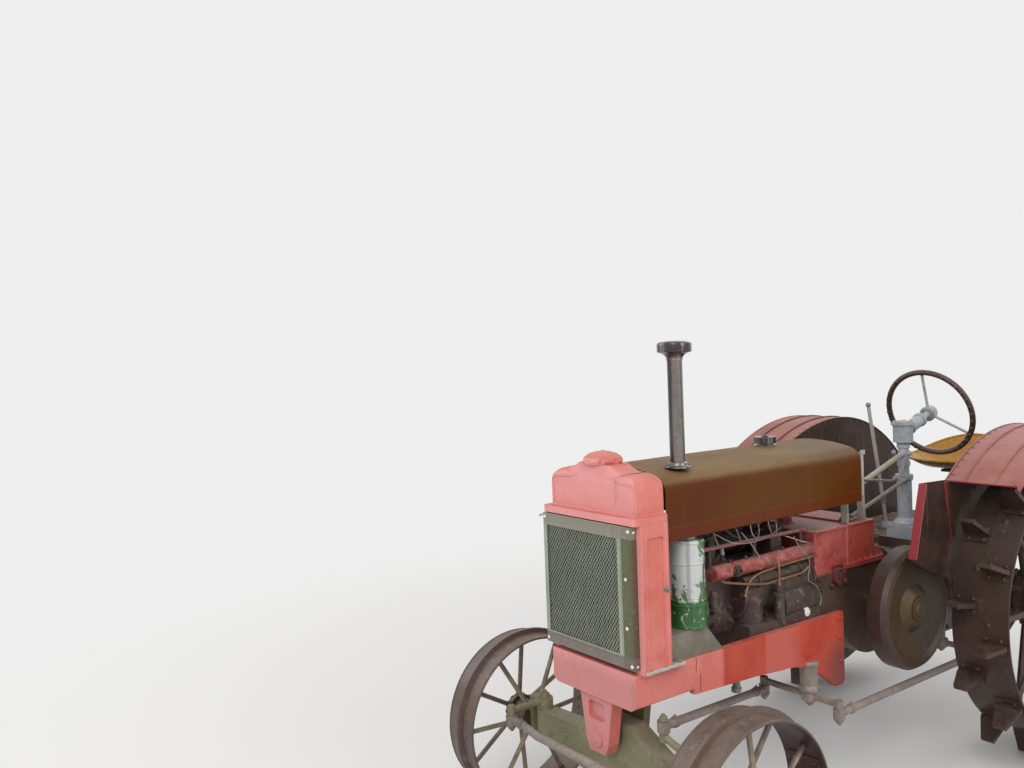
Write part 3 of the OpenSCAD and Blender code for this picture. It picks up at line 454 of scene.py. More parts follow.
# Painted and bare metal, one row a finish. Columns: the screen colours of the paint, its second tone, what
# shows where it has worn through and the dirt, then roughness low and high, metallic, coat, share worn
# through, dust on top faces, streaks and grain of the casting
METALS = {
    "faded_red": ((204, 110, 99), (214, 130, 122), (150, 92, 82), (130, 84, 76),
        0.46, 0.72, 0.0, 0.02, 0.08, 0.24, 0.3, 0.25),
    "red_casting": ((158, 60, 52), (176, 92, 86), (88, 52, 46), (62, 46, 40),
        0.36, 0.62, 0.0, 0.08, 0.26, 0.25, 0.45, 0.6),
    "engine_grime": ((74, 62, 54), (68, 44, 46), (132, 122, 106), (34, 28, 26),
        0.26, 0.66, 0.15, 0.1, 0.24, 0.2, 0.45, 0.8),
    "rust": ((64, 48, 44), (76, 54, 46), (100, 86, 74), (42, 34, 30),
        0.3, 0.58, 0.2, 0.04, 0.2, 0.1, 0.3, 0.5),
    "wheel_bronze": ((92, 80, 76), (108, 88, 76), (138, 124, 112), (64, 50, 44),
        0.28, 0.52, 0.25, 0.08, 0.2, 0.15, 0.3, 0.35),
    "bare_steel": ((176, 172, 166), (150, 142, 134), (200, 197, 190), (104, 88, 74),
        0.28, 0.52, 0.85, 0.0, 0.2, 0.08, 0.2, 0.3),
    "axle_green": ((116, 114, 86), (138, 134, 108), (104, 96, 78), (88, 82, 64),
        0.44, 0.7, 0.05, 0.02, 0.14, 0.4, 0.3, 0.5),
    "link_grey": ((130, 120, 116), (152, 138, 130), (108, 94, 84), (94, 84, 76),
        0.4, 0.64, 0.15, 0.0, 0.24, 0.25, 0.2, 0.5),
    "stack_metal": ((122, 116, 112), (138, 131, 126), (150, 140, 130), (88, 80, 74),
        0.16, 0.3, 0.85, 0.1, 0.04, 0.08, 0.5, 0.04),
    "post_blue": ((150, 158, 168), (174, 178, 182), (132, 128, 104), (104, 100, 92),
        0.38, 0.62, 0.0, 0.05, 0.26, 0.15, 0.45, 0.4),
    "wheel_black": ((66, 50, 42), (84, 60, 50), (104, 88, 74), (46, 38, 33),
        0.28, 0.5, 0.0, 0.25, 0.12, 0.12, 0.2, 0.25),
    "fender_red": ((150, 88, 83), (162, 104, 98), (122, 80, 72), (110, 74, 66),
        0.42, 0.66, 0.0, 0.06, 0.16, 0.18, 0.45, 0.25),
    "deck_steel": ((98, 86, 78), (112, 94, 84), (128, 120, 110), (66, 56, 49),
        0.46, 0.74, 0.25, 0.0, 0.25, 0.3, 0.3, 0.5),
    "seat_yellow": ((166, 116, 24), (178, 134, 40), (112, 80, 50), (92, 68, 40),
        0.36, 0.6, 0.0, 0.12, 0.25, 0.12, 0.3, 0.2),
    "bracket_white": ((170, 166, 158), (190, 186, 178), (136, 122, 110), (120, 110, 100),
        0.4, 0.66, 0.05, 0.03, 0.2, 0.12, 0.35, 0.3),
    "copper": ((152, 116, 84), (132, 104, 80), (196, 164, 130), (80, 68, 56),
        0.3, 0.5, 0.8, 0.0, 0.2, 0.1, 0.2, 0.2),
}


def uneven(f):
    """What a painted edge wanders by, in metres."""
    return f.noise(9, 4, 0.6) * 0.05


def faded_red_zones(f, colour):
    """Chalky pink in front, paler on front-facing faces as faded paint and painted light together, turns to
    vermilion along the rails, with one pale patch and a browned tip.
    """
    x, y, z = f.where
    wavy = uneven(f)
    # Faces turned to the front are painted paler pink: chalky faded paint and painted light on the lit front
    # together.
    chalk_and_light_front = f.between(f.facing[1] * -1, 0.5, 0.9)
    chalk = f.mix(f.noise(7, 4), paint(216, 140, 138), paint(228, 162, 161))
    colour = f.mix(chalk_and_light_front * 0.85, colour, chalk)
    foot = f.mix(f.noise(5, 4), paint(178, 114, 112), paint(196, 134, 134))
    colour = f.mix(chalk_and_light_front * f.fall(z + wavy, 0.64, 0.7) * 0.8, colour, foot)
    rail = f.between(y + wavy * 0.3, 0.392, 0.418) * f.fall(z, 0.662, 0.668)
    bright = f.blotches(f.noise(6, 4, 0.6), 0.35, 0.65, (170, 58, 42), (184, 74, 54))
    colour = f.mix(rail * 0.95, colour, bright)
    patch = f.between(y + wavy * 0.4, 0.615, 0.632) * f.fall(y + wavy * 2, 0.8, 0.88)
    colour = f.mix(rail * patch * 0.8, colour, paint(190, 98, 88))
    tip = f.between(y, 0.9, 1.02) * f.fall(z + wavy * 2, 0.52, 0.64)
    colour = f.mix(rail * tip * 0.85, colour, paint(122, 70, 66))
    # The pedestal behind the axle and the deck of the frame stand in other paint
    pedestal = f.between(y, 0.155, 0.158) * f.fall(z, 0.56, 0.566) * f.fall(y, 0.2, 0.21)
    colour = f.mix(pedestal * f.fall(abs(x), 0.1, 0.11), colour, paint(112, 106, 80))
    deck = f.between(y, 0.1485, 0.1495) * f.between(z, 0.6585, 0.6595) * f.fall(y, 0.398, 0.402)
    return f.mix(deck, colour, f.blotches(f.noise(8, 5, 0.6), 0.35, 0.68, (112, 104, 94), (136, 130, 120)))


def red_casting_zones(f, colour):
    """Red only above the joint of the case, with oil and soot below it; the long side pipe is blotched, and
    the upper case's rear part is a brighter, yellower red, its own tone and painted light together.
    """
    _, y, z = f.where
    behind = f.between(y, 1.392, 1.4)
    low = (f.fall(z + uneven(f) * 0.3, 0.786, 0.8) * f.between(y, 0.955, 0.96)).larger(behind)
    boss = f.between(y, 1.062, 1.068) * f.fall(y, 1.134, 1.14)
    boss = boss * f.between(z, 0.722, 0.732) * f.fall(z, 0.804, 0.81)
    soot = f.blotches(f.noise(5, 5, 0.6), 0.35, 0.66, (58, 49, 42), (86, 74, 60))
    colour = f.mix(low * (1 - boss * 0.7) * 0.95, colour, soot)
    colour = f.mix(boss, colour, paint(100, 36, 38))
    pipe = f.fall(y, 0.955, 0.96) * f.between(z, 0.84, 0.85)
    pink = f.blotches(f.noise(16, 5, 0.6, (1, 0.6, 1), 0.4), 0.38, 0.6, (190, 118, 116), (150, 66, 60))
    colour = f.mix(pipe * 0.9, colour, pink)
    colour = f.mix(pipe * f.between(f.noise(11, 4), 0.54, 0.66) * 0.7, colour, paint(96, 80, 74))
    colour = f.mix(pipe * f.between(z, 0.94, 0.945) * 0.6, colour, paint(118, 88, 84))
    # The upper case's rear part is painted a brighter, yellower red: partly its own tone, partly painted
    # light.
    orange_and_painted_light = f.between(y, 1.166, 1.172) * f.between(z, 0.8, 0.81) * f.fall(y, 1.392, 1.4)
    colour = f.mix(orange_and_painted_light * 0.8, colour, f.mix(f.noise(9, 4), paint(176, 64, 46), paint(190, 92, 74)))
    dusty = f.between(f.facing[2], 0.5, 0.9) * f.between(z, 0.9, 0.93)
    return f.mix(dusty * 0.5, colour, paint(196, 160, 156))


def fender_red_zones(f, colour):
    """The upright sheets are dark on both faces and so are the undersides, as painted shade; the lips, the
    flange and the top sheet keep their red.
    """
    x, y, z = f.where
    # The upright sheets' faces and all undersides are painted near black-brown: painted shade.
    side = f.between(abs(f.facing[0]), 0.6, 0.9) * f.fall(abs(x), 0.412, 0.418)
    under = f.between(f.facing[2] * -1, 0.3, 0.7)
    dark = f.blotches(f.noise(6, 5, 0.6), 0.35, 0.68, (34, 25, 20), (54, 40, 31))
    colour = f.mix(side.larger(under) * 0.97, colour, dark)
    stripes = f.between(f.noise(26, 4, 0.6, (1, 0.06, 1)), 0.52, 0.66) * f.between(f.facing[2], 0.3, 0.8)
    colour = f.mix(stripes * 0.5 * f.fall(x, -0.1, 0.1), colour, paint(120, 84, 62))
    # Dark lines along the pressed ribs of the right fender are painted shade in their grooves.
    inner_rib = f.between(x, -0.482, -0.476) * f.fall(x, -0.464, -0.458)
    outer_rib = f.between(x, -0.592, -0.586) * f.fall(x, -0.574, -0.568)
    colour = f.mix((inner_rib + outer_rib) * (1 - under) * 0.8, colour, paint(98, 62, 50))
    # Nose flange and front strip keep a deeper red, which turns dark brown towards the bottom
    nose = f.fall(y, 1.252, 1.258)
    strip = f.between(y, 1.404, 1.408) * f.fall(y, 1.476, 1.482) * f.fall(z, 1.112, 1.116) * (1 - under)
    colour = f.mix((nose + strip) * f.between(f.facing[1] * -1, 0.3, 0.6), colour, paint(150, 58, 62))
    return f.mix(strip * f.fall(z, 0.95, 1.06) * 0.7, colour, paint(58, 42, 36))


def stack_metal_painted_reflection(f, colour):
    """Long dark vertical streaks on the stack: painted reflection, standing for the dark bands that a glossy
    pipe shows.
    """
    return f.mix(f.between(f.noise(34, 3, 0.5, (1, 1, 0.02)), 0.42, 0.6) * 0.8, colour, paint(58, 52, 54))


def wheel_bronze_zones(f, colour):
    """Spokes are paler than the rims, and the left wheel's rim is maroon inside."""
    x, y, z = f.where
    y, z = y - FRONT_AXLE_Y, z - FRONT_AXLE_Z
    reach = f.distance(y, z)
    spoke = f.between(reach, 0.058, 0.075) * f.fall(reach, 0.268, 0.278)
    inward = f.between((f.facing[1] * y + f.facing[2] * z) * -1, 0.08, 0.18)
    colour = f.mix(inward * (1 - spoke) * f.between(x, 0.1, 0.2) * 0.9, colour, paint(60, 28, 30))
    colour = f.mix(spoke * 0.9, colour, f.blotches(f.noise(13, 4), 0.4, 0.6, (124, 112, 104),
                                                   (150, 138, 112)))
    return f.mix(f.fall(reach, 0.058, 0.07) * 0.8, colour, paint(66, 56, 50))


def wheel_black_zones(f, colour):
    """The steering wheel's hub and spokes are pale inside its black rim."""
    x, y, z = f.where
    reach = f.distance(x - POST_X, y - 1.966, z - 1.3215)
    pale = f.blotches(f.noise(18, 4), 0.4, 0.6, (158, 160, 166), (184, 186, 190))
    return f.mix(f.fall(reach, 0.172, 0.177) * f.between(y, 1.8, 1.81), colour, pale)


def post_blue_zones(f, colour):
    """The slanted brace in front of the post is beige."""
    _, y, z = f.where
    brace = f.fall(y, 1.7, 1.712) * f.fall(z, 1.16, 1.17) * f.between(z, 0.9, 0.91)
    return f.mix(brace, colour, f.mix(f.noise(9, 4), paint(146, 136, 118), paint(172, 162, 142)))


def engine_grime_zones(f, colour):
    """Old paint shows greenish in places and purple in others."""
    greenish = f.between(f.noise(9, 5, 0.62, bend=0.4), 0.55, 0.68)
    colour = f.mix(greenish * 0.6, colour, paint(98, 96, 78))
    purple = f.between(f.noise(12, 5, 0.62), 0.56, 0.7)
    return f.mix(purple * 0.6, colour, paint(92, 58, 56))


def rust_zones(f, colour):
    """Olive clouds all over; the flywheel's dished face is olive brown with a darker rear half."""
    x, y, z = f.where
    colour = f.mix(f.between(f.noise(6, 4, 0.6), 0.5, 0.7) * 0.4, colour, paint(74, 60, 42))
    reach = f.distance(y - CRANK_Y, z - CRANK_Z)
    face = f.fall(reach, 0.178, 0.186) * f.between(x, 0.28, 0.29) * f.fall(x, 0.4, 0.41)
    brown = f.blotches(f.noise(7, 6, 0.65), 0.36, 0.64, (88, 66, 36), (66, 50, 36))
    brown = f.mix(f.between(y + uneven(f) * 2, 1.36, 1.44) * 0.7, brown, paint(44, 38, 34))
    return f.mix(face * 0.9, colour, brown)


# Finishes whose colours follow a place on the tractor
ZONES = {"faded_red": faded_red_zones, "red_casting": red_casting_zones, "fender_red": fender_red_zones,
         "stack_metal": stack_metal_painted_reflection, "wheel_bronze": wheel_bronze_zones,
         "wheel_black": wheel_black_zones, "post_blue": post_blue_zones, "engine_grime": engine_grime_zones,
         "rust": rust_zones}


def worn_metal(name):
    """Paint or bare metal from its row: clouds of two colours, worn spots, streaks, dirt and dust on top."""
    low, high, metal, coat, share, dust, streak, grain = METALS[name][4:]
    main, second, worn, dirt = (paint(*colour) for colour in METALS[name][:4])
    f = Finish(name)
    clouds = f.between(f.noise(6, 6, 0.62, bend=0.4), 0.34, 0.68)
    colour = f.mix(clouds, main, second)
    if name in ZONES:
        colour = ZONES[name](f, colour)
    fine = f.noise(70, 6, 0.68)
    chalky = name in ("faded_red", "fender_red")
    speckle = 0.1 if chalky else 0.3
    colour = f.mix(f.between(fine, 0.35, 0.75) * speckle, colour, tuple(0.62 * c for c in main), "MULTIPLY")
    runs = f.between(f.noise(40, 5, 0.6, (1, 1, 0.05), 0.2), 0.57, 0.72) * f.between(f.noise(5, 3), 0.4, 0.62)
    colour = f.mix(runs * streak, colour, dirt)
    patches = f.noise(24, 8, 0.7, bend=0.5)
    chips = f.between(patches * 0.6 + fine * 0.4, 0.64 - share * 0.34, 0.67 - share * 0.34)
    colour = f.mix(chips * 0.55, colour, worn)
    pits = f.between(f.noise(150, 4, 0.7), 0.68, 0.74)
    colour = f.mix(pits * speckle, colour, dirt)
    grime = f.between(f.noise(4.5, 7, 0.66), 0.5, 0.78)
    colour = f.mix(grime * (0.16 + share * 0.9), colour, dirt)
    topside = f.between(f.facing[2], 0.45, 0.95) * f.between(f.noise(18, 5, 0.6), 0.3, 0.62)
    colour = f.mix(topside * dust, colour, paint(168, 158, 144))
    rough = low + (high - low) * f.noise(9, 4, 0.6)
    rough = rough + topside * dust * 0.5 + chips * 0.08
    pitted = f.noise(240, 3, 0.6)
    return f.finish(colour, rough, metal * (1 - topside * dust), coat,
                    [(pitted, 0.22 * grain, 0.0016), (1 - chips, 0.25, 0.0004), (fine, 0.24 * grain, 0.0014)],
                    0.2 if chalky else 0.4)


def hood_paint():
    """Dark brown gloss on the sides, with a tan top that is dust and painted reflection together, and a
    redder stripe under the bead.
    """
    f = Finish("hood_paint")
    clouds = f.noise(3.0, 4, 0.55, (1, 0.6, 1), 0.4)
    colour = f.blotches(clouds, 0.35, 0.68, (86, 42, 14), (88, 52, 12))
    low_edge = f.fall(f.where[2], 1.078, 1.092)
    colour = f.mix(low_edge * 0.6, colour, paint(98, 38, 16))
    # A faint pale line along the lower fold is a painted highlight.
    fold_highlight = f.between(f.where[2], 1.0835, 1.0855) * f.fall(f.where[2], 1.0875, 1.0895)
    colour = f.mix(fold_highlight * 0.12, colour, paint(140, 92, 50))
    # The tan on upward faces is settled dust and painted reflection of the pale sky together.
    top = f.between(f.facing[2], 0.3, 0.8)
    settled = f.noise(13, 6, 0.62, (1, 0.35, 1), 0.3)
    colour = f.mix(top * (0.55 + f.between(settled, 0.3, 0.7) * 0.35), colour, paint(124, 102, 68))
    rear = f.between(f.where[1], 0.72, 1.1)
    colour = f.mix(top * rear * 0.5, colour, paint(84, 66, 50))
    runs = f.between(f.noise(46, 3, 0.6, (1, 1, 0.05), 0.2), 0.57, 0.7)
    colour = f.mix(runs * 0.05, colour, paint(146, 116, 76))
    specks = f.between(f.noise(120, 5, 0.7), 0.7, 0.74)
    colour = f.mix(specks * 0.15, colour, paint(158, 130, 92))
    rough = 0.26 + top * 0.24 + f.noise(22, 5, 0.6) * 0.14
    waves = f.noise(7, 2, 0.4, (1, 0.8, 1))
    return f.finish(colour, rough, 0.0, 0.0, [(waves, 0.25, 0.004), (settled, 0.04, 0.001)], 0.12)


def guard_paint():
    """Grey-green wire with olive strips: the paint is thin, and dull steel shows on the ridges."""
    f = Finish("guard_paint")
    x, _, z = f.where
    colour = f.blotches(f.noise(6, 4, 0.6), 0.38, 0.64, (142, 152, 136), (158, 166, 150))
    left = f.between(x, 0.156, 0.16)
    olive = f.blotches(f.noise(4, 5, 0.6), 0.35, 0.65, (74, 92, 42), (90, 88, 58))
    colour = f.mix(left * 0.95, colour, olive)
    # Side faces and the strip by the left edge are darkened brown: painted shade of the gap beside the cheek.
    flank = f.between(f.facing[0], 0.6, 0.9)
    colour = f.mix(flank * 0.85, colour, paint(88, 76, 62))
    corner = f.between(x, 0.182, 0.196)
    colour = f.mix(corner * 0.6, colour, paint(92, 80, 62))
    low_down = f.fall(z, 0.709, 0.716)
    colour = f.mix(low_down * 0.85, colour, paint(114, 98, 98))
    high_up = f.between(z, 1.069, 1.076)
    colour = f.mix(high_up * 0.85, colour, paint(132, 124, 112))
    scraped = f.between(f.noise(75, 6, 0.7), 0.57, 0.68)
    colour = f.mix(scraped * 0.45, colour, paint(160, 160, 148))
    drips = f.between(f.noise(50, 4, 0.6, (1, 1, 0.05)), 0.56, 0.68)
    colour = f.mix(drips * 0.18, colour, paint(66, 60, 50))
    return f.finish(colour, 0.42 + 0.25 * f.noise(30, 3), 0.15 + 0.2 * scraped, 0.0,
                    [(scraped, 0.25, 0.0008)])


def core_fins():
    """Thin dark fins across the tubes: a wave in Z for the fins and one in X for the tubes."""
    f = Finish("core_fins")
    fins = (f.where[2] * (TAU / 0.0032)).wave() * 0.5 + 0.5
    tubes = (f.where[0] * (TAU / 0.0115)).wave() * 0.5 + 0.5
    dusty = f.noise(8, 5, 0.6)
    colour = f.mix(fins * 0.7, paint(34, 38, 34), paint(62, 68, 58))
    colour = f.mix(tubes ** 4 * 0.5, colour, paint(84, 84, 72))
    colour = f.mix(f.between(dusty, 0.5, 0.75) * 0.5, colour, paint(86, 82, 68))
    return f.finish(colour, 0.65, 0.2, 0.0, [(fins, 0.5, 0.0015), (tubes, 0.6, 0.003)])


def cleaner_green():
    """Flaking green paint over white primer on the upper can, and clean bright green on the cup below."""
    f = Finish("cleaner_green")
    x, y, z = f.where
    low = node_box("air_cleaner")[0][2]
    flakes = f.noise(20, 9, 0.74, (1, 1, 0.6), 0.8)
    # Place across the can: the green keeps to its rear flank and to the foot of its front flank
    across = (x - CLEANER_X) * 0.588 + (y - CLEANER_Y) * 0.808
    lower = f.fall(z, low + 0.1, low + 0.22)
    flank = f.between(across, 0.014, 0.034) + f.fall(across, -0.05, -0.03) * lower
    bare = f.between(flakes - flank * 0.13 - lower * 0.04 + 0.045, 0.42, 0.44)
    green = f.mix(f.noise(14, 4, 0.6), paint(70, 96, 54), paint(96, 122, 76))
    primer = f.mix(f.noise(30, 6, 0.7), paint(172, 176, 172), paint(204, 208, 206))
    grey_runs = f.between(f.noise(60, 4, 0.6, (1, 1, 0.05), 0.1), 0.56, 0.68)
    primer = f.mix(grey_runs * 0.45, primer, paint(126, 130, 122))
    shade = f.between(across, -0.016, -0.008) * f.fall(across, -0.004, 0.004)
    primer = f.mix(shade * 0.6, primer, paint(112, 118, 128))
    upper = f.mix(bare, green, primer)
    cup = f.mix(f.noise(12, 5, 0.6), paint(30, 82, 34), paint(60, 112, 60))
    colour = f.mix(f.between(z, low + 0.084, low + 0.088), cup, upper)
    scuffs = f.between(f.noise(36, 7, 0.72, (1, 1, 0.6), 1.2), 0.61, 0.63)
    colour = f.mix(scuffs * 0.7, colour, paint(196, 204, 196))
    return f.finish(colour, 0.22 + 0.38 * bare, 0.0, 0.1,
                    [(bare, 0.35, 0.0004), (f.noise(160, 3), 0.1, 0.001)])


def plain_paint(name, colour, roughness, metallic=0.0):
    """One colour under fine clouds of dirt."""
    f = Finish(name)
    spots = f.noise(45, 6, 0.65)
    shade = f.mix(f.between(spots, 0.45, 0.72) * 0.5, colour, tuple(0.5 * c for c in colour))
    return f.finish(shade, roughness + 0.2 * spots, metallic, 0.0, [(spots, 0.15, 0.0008)])


def make_finishes():
    """Every finish once, under the record's slot names and the few that only fine pieces use."""
    for name in METALS:
        FINISHES[name] = worn_metal(name)
    for build in (hood_paint, guard_paint, core_fins, cleaner_green):
        FINISHES[build.__name__] = build()
    for name, colour, roughness, metallic in (("white_paint_and_glint", paint(222, 220, 214), 0.35, 0.0),
                                              ("black_rubber", paint(44, 42, 40), 0.5, 0.0),
                                              ("backing_painted_shade", paint(62, 68, 62), 0.6, 0.0),
                                              ("dark_oil", paint(52, 44, 40), 0.3, 0.3)):
        FINISHES[name] = plain_paint(name, colour, roughness, metallic)


# Pieces: places are metres counted from the guard's front plane, and make_piece() moves them into the frame


def boxes(*rows):
    """Several boxes as one shape, each row (low x, low y, low z, high x, high y, high z)."""
    return joined(*[box_shape(row[:3], row[3:]) for row in rows])


def bead(radius, sides, line, flat=(1, 1), closed=False, up=TOP):
    """A pressed bead or rolled edge: a circle, flattened by two factors, carried along a line."""
    return carried(circle(radius, sides) * flat, line, closed, up)


def both_sides(shape):
    """A shape and its mirror image across the tractor's middle, with the image's faces turned round."""
    vertices, faces = shape
    return joined(shape, (np.asarray(vertices, float) * [-1, 1, 1], [f[::-1] for f in faces]))


def expanded_metal(low, high, pitch, diamond, strand, thick):
    """Slit and stretched sheet: upright strands x = x0 +- pitch/2 zigzag once each diamond, in turn mirrored.

    Each strand is a slanted strip, so that light catches one side of every diamond."""
    count = int((high[0] - low[0]) / pitch)
    steps = int(round((high[2] - low[2]) / (diamond / 2)))
    z = np.linspace(low[2], high[2], steps + 1)
    rng = np.random.default_rng(SEED)
    shapes = []
    for i in range(count + 1):
        centre = low[0] + (high[0] - low[0]) * i / count
        swing = np.where((np.arange(steps + 1) + i) % 2 == 0, 0.5, -0.5) * pitch * 0.8
        x = np.clip(centre + swing + rng.normal(0, 0.0003, steps + 1), low[0], high[0])
        line = np.stack([x, low[1] + 0.003 + rng.normal(0, 0.0002, steps + 1), z], 1)
        section = [(-strand / 2, -thick), (strand / 2, 0), (strand / 2, thick), (-strand / 2, 0)]
        shapes.append(carried(section, line, up=REAR))
    return joined(*shapes)


def guard_shape(low, high):
    """The guard: strips turned back at its edges, beads inside them, and the screen of stretched metal."""
    left, right = high[0] - 0.062, low[0] + 0.018
    bottom, top = low[2] + 0.04, high[2] - 0.04
    sheet, wall, back = 0.0024, 0.0035, high[1]
    inner_left, inner_right = high[0] - wall, low[0] + wall
    strips = boxes((left, 0, low[2], high[0], sheet, high[2]), (low[0], 0, low[2], right, sheet, high[2]),
                   (right, 0.0005, top, left, sheet, high[2]), (right, 0.0005, low[2], left, sheet, bottom),
                   (inner_left, sheet, low[2], high[0], back, high[2]),
                   (low[0], sheet, low[2], inner_right, back, high[2]),
                   (inner_right, sheet, high[2] - wall, inner_left, back, high[2]),
                   (inner_right, sheet, low[2], inner_left, back, low[2] + wall))
    proud = 0.0008
    uprights = [bead(r, 12, [[x, proud, bottom], [x, proud, top]], (1, 0.45), up=REAR)
                for x, r in ((left + 0.007, 0.0075), (right - 0.004, 0.0045))]
    level = [bead(r, 12, [[low[0] + 0.004, proud, z], [high[0] - 0.006, proud, z]], (0.5, 1))
             for z, r in ((top + 0.006, 0.0045), (bottom - 0.005, 0.0055), (low[2] + 0.005, 0.005),
                          (high[2] - 0.004, 0.003))]
    screen = expanded_metal((right - 0.004, 0.0004, bottom - 0.004), (left + 0.004, 0, top + 0.004),
                            pitch=0.006, diamond=0.0168, strand=0.0036, thick=0.001)
    return joined(strips, screen, *uprights, *level)


class TractorSettings(bpy.types.PropertyGroup):
    """Sizes and colours that a user would change."""

    bolt: bpy.props.FloatProperty(name="Bolt head", description="Half width of a common bolt head",
                                  default=0.0095, min=0.005, max=0.02, unit="LENGTH")
    floor: bpy.props.FloatVectorProperty(name="Floor", description="Colour of the studio floor",
                                         default=(0.74, 0.74, 0.735), subtype="COLOR", size=3, min=0, max=1)
    light: bpy.props.FloatProperty(name="Light", description="Strength of all lamps together", default=1.0,
                                   min=0.2, max=3)
    lens: bpy.props.FloatProperty(name="Lens", description="Focal length of the camera in millimetres",
                                  default=31.9, min=20, max=90)


class TRACTOR_OT_finishes(bpy.types.Operator):
    """Makes every finish and lays it on the frame's own nodes"""

    bl_idname = "tractor.finishes"
    bl_label = "Finishes"

    def execute(self, context):
        make_finishes()
        for row in frame["record"]["subparts"]:
            node = frame["nodes"][row["node"]]
            name = "wheel_bronze" if row["node"].startswith("front_wheel") else row["material_slot"]
            node.data.materials.clear()
            node.data.materials.append(FINISHES[name])
        return {"FINISHED"}


class TRACTOR_OT_guard(bpy.types.Operator):
    """Adds the radiator guard of stretched metal in its strips, its screws, stay rod and dark backing"""

    bl_idname = "tractor.guard"
    bl_label = "Radiator guard"

    def execute(self, context):
        low, high = node_box("radiator_guard")
        screen = guard_shape(low, high)
        make_piece("guard_screen", screen, "guard_paint", "chassis", ["radiator_guard"], smooth=30)
        skin = -0.0005
        fronts = [(x, skin, z) for x in (low[0] + 0.01, high[0] - 0.01)
                  for z in (low[2] + 0.013, high[2] - 0.013)]
        fronts += [(high[0] - 0.026, skin, z) for z in (0.8, 0.95)]
        flanks = [(high[0], 0.013, z) for z in (low[2] + 0.012, high[2] - 0.016)]
        screws = joined(many(dome(0.006, 0.0045), fronts, FRONT), many(dome(0.0044, 0.0035), flanks, LEFT))
        # The screws' near-white paint is a painted highlight of bright steel.
        make_piece("guard_screws", screws, "white_paint_and_glint", "chassis")
        # A stay rod runs out at the upper right corner
        stay = tube([(low[0] + 0.004, 0.012, high[2] - 0.012), (low[0] - 0.016, 0.01, high[2] - 0.011),
                     (low[0] - 0.034, 0.012, high[2] - 0.016)], 0.0042)
        make_piece("guard_stay", stay, "bracket_white", "chassis")
        # Dark sheet close behind the screen, standing in for the shade behind it: painted shade.
        sheet = boxes((low[0] + 0.01, 0.013, low[2] + 0.03, high[0] - 0.05, 0.0145, high[2] - 0.03))
        make_piece("guard_painted_shade_sheet", sheet, "backing_painted_shade", "chassis")
        return {"FINISHED"}


def hood_line(half, shoulder, crown, radius, low_z):
    """Outline of the hood over both sides: a wall, an arc of 50 degrees and a shallow circle across."""
    a = np.radians(np.linspace(0, 50, 5))
    arc = np.stack([half - radius + radius * np.cos(a), 0 * a, shoulder - radius + radius * np.sin(a)], 1)
    flat = half - radius / 2
    wide = (flat ** 2 + crown ** 2) / (2 * crown)
    x = np.linspace(0.172, 0, 7)
    over = np.stack([x, 0 * x, shoulder + crown - wide + np.sqrt(wide ** 2 - x ** 2)], 1)
    wall = np.stack([np.full(7, half), np.zeros(7), np.linspace(low_z, shoulder - radius, 8)[:-1]], 1)
    side = np.concatenate([wall, arc, over])
    return smooth_line(np.concatenate([side, (side * [-1, 1, 1])[-2::-1]]), 3)[:, [0, 2]]


class TRACTOR_OT_hood(bpy.types.Operator):
    """Adds the rolled sheet hood with its bead and hem, and the filler cap's grips, vent and neck"""

    bl_idname = "tractor.hood"
    bl_label = "Hood"

    def execute(self, context):
        low, high = node_box("hood")
        half, shoulder = high[0], 1.238
        outline = hood_line(half, shoulder, high[2] - shoulder, 0.04, low[2] + 0.004)
        along = np.concatenate([np.linspace(low[1], low[1] + 0.012, 3),
                                np.linspace(low[1] + 0.04, high[1] - 0.04, 44),
                                np.linspace(high[1] - 0.012, high[1], 3)])
        normal = np.gradient(outline, axis=0)
        normal = unit(np.stack([normal[:, 1], -normal[:, 0]], 1))
        rng = np.random.default_rng(SEED)
        waves = [(rng.uniform(4, 14), rng.uniform(4, 10), rng.uniform(0, TAU), rng.uniform(0, TAU))
                 for _ in range(6)]
        s = np.linspace(0, 1, len(outline))
        ripples = [np.sin(a * along[:, None] + p) * np.sin(b * s[None, :] * 3 + q) for a, b, p, q in waves]
        dent = sum(ripples) * 0.00022
        rows = np.broadcast_to(along[:, None], dent.shape)
        grids = []
        for inset in (0.0, 0.003):
            flat = outline[None] + normal[None] * (dent[..., None] + 0.0016 - inset)
            grids.append(np.stack([flat[..., 0], rows, flat[..., 1]], -1))
        shapes = [sheet_between(*grids)]
        ends = (low[1] + 0.002, high[1] - 0.002)
        for side in (-1, 1):
            # Wired lower edge, and the pressed bead above it
            shapes.append(bead(0.0042, 10, [[side * (half - 0.0035), y, low[2] + 0.0045] for y in ends]))
            pressed = [[side * (half - 0.0022), y, low[2] + 0.043] for y in ends]
            shapes.append(bead(0.0046, 12, pressed, (0.5, 1.25)))
        hem = np.stack([outline[:, 0], np.full(len(outline), high[1] - 0.005), outline[:, 1]], 1)
        shapes.append(bead(0.0034, 8, hem - np.array([0, 0, 0.002]), up=REAR))
        make_piece("hood_shell", joined(*shapes), "hood_paint", "chassis", ["hood"], smooth=50)
        cap_y = 0.89
        cap = (0, cap_y, 1.29)
        around = ring(cap, TOP, 0.0375, 20)
        grips = many(box_shape((-0.0022, -0.01, SUNK), (0.0022, 0.01, 0.003)), around, around - np.array(cap))
        vent = turned(joined(disc(0.014, 0.004), dome(0.007, 0.009)), (0, cap_y, 1.302), TOP)
        neck = turned(disc(0.043, 0.005, bore=0.031), (0, cap_y, 1.2672), TOP)
        make_piece("filler_cap_grips", joined(grips, vent, neck), "stack_metal", "chassis")
        return {"FINISHED"}


def shoulder_y(z):
    """How far back the tank's face lies at a height: flat below its shoulder, then an arc of 34 mm."""
    rise = np.clip(np.asarray(z) - TANK_SHOULDER, 0, TANK_ROUND - 0.0001)
    return TANK_FACE - np.sqrt(TANK_ROUND ** 2 - rise ** 2)


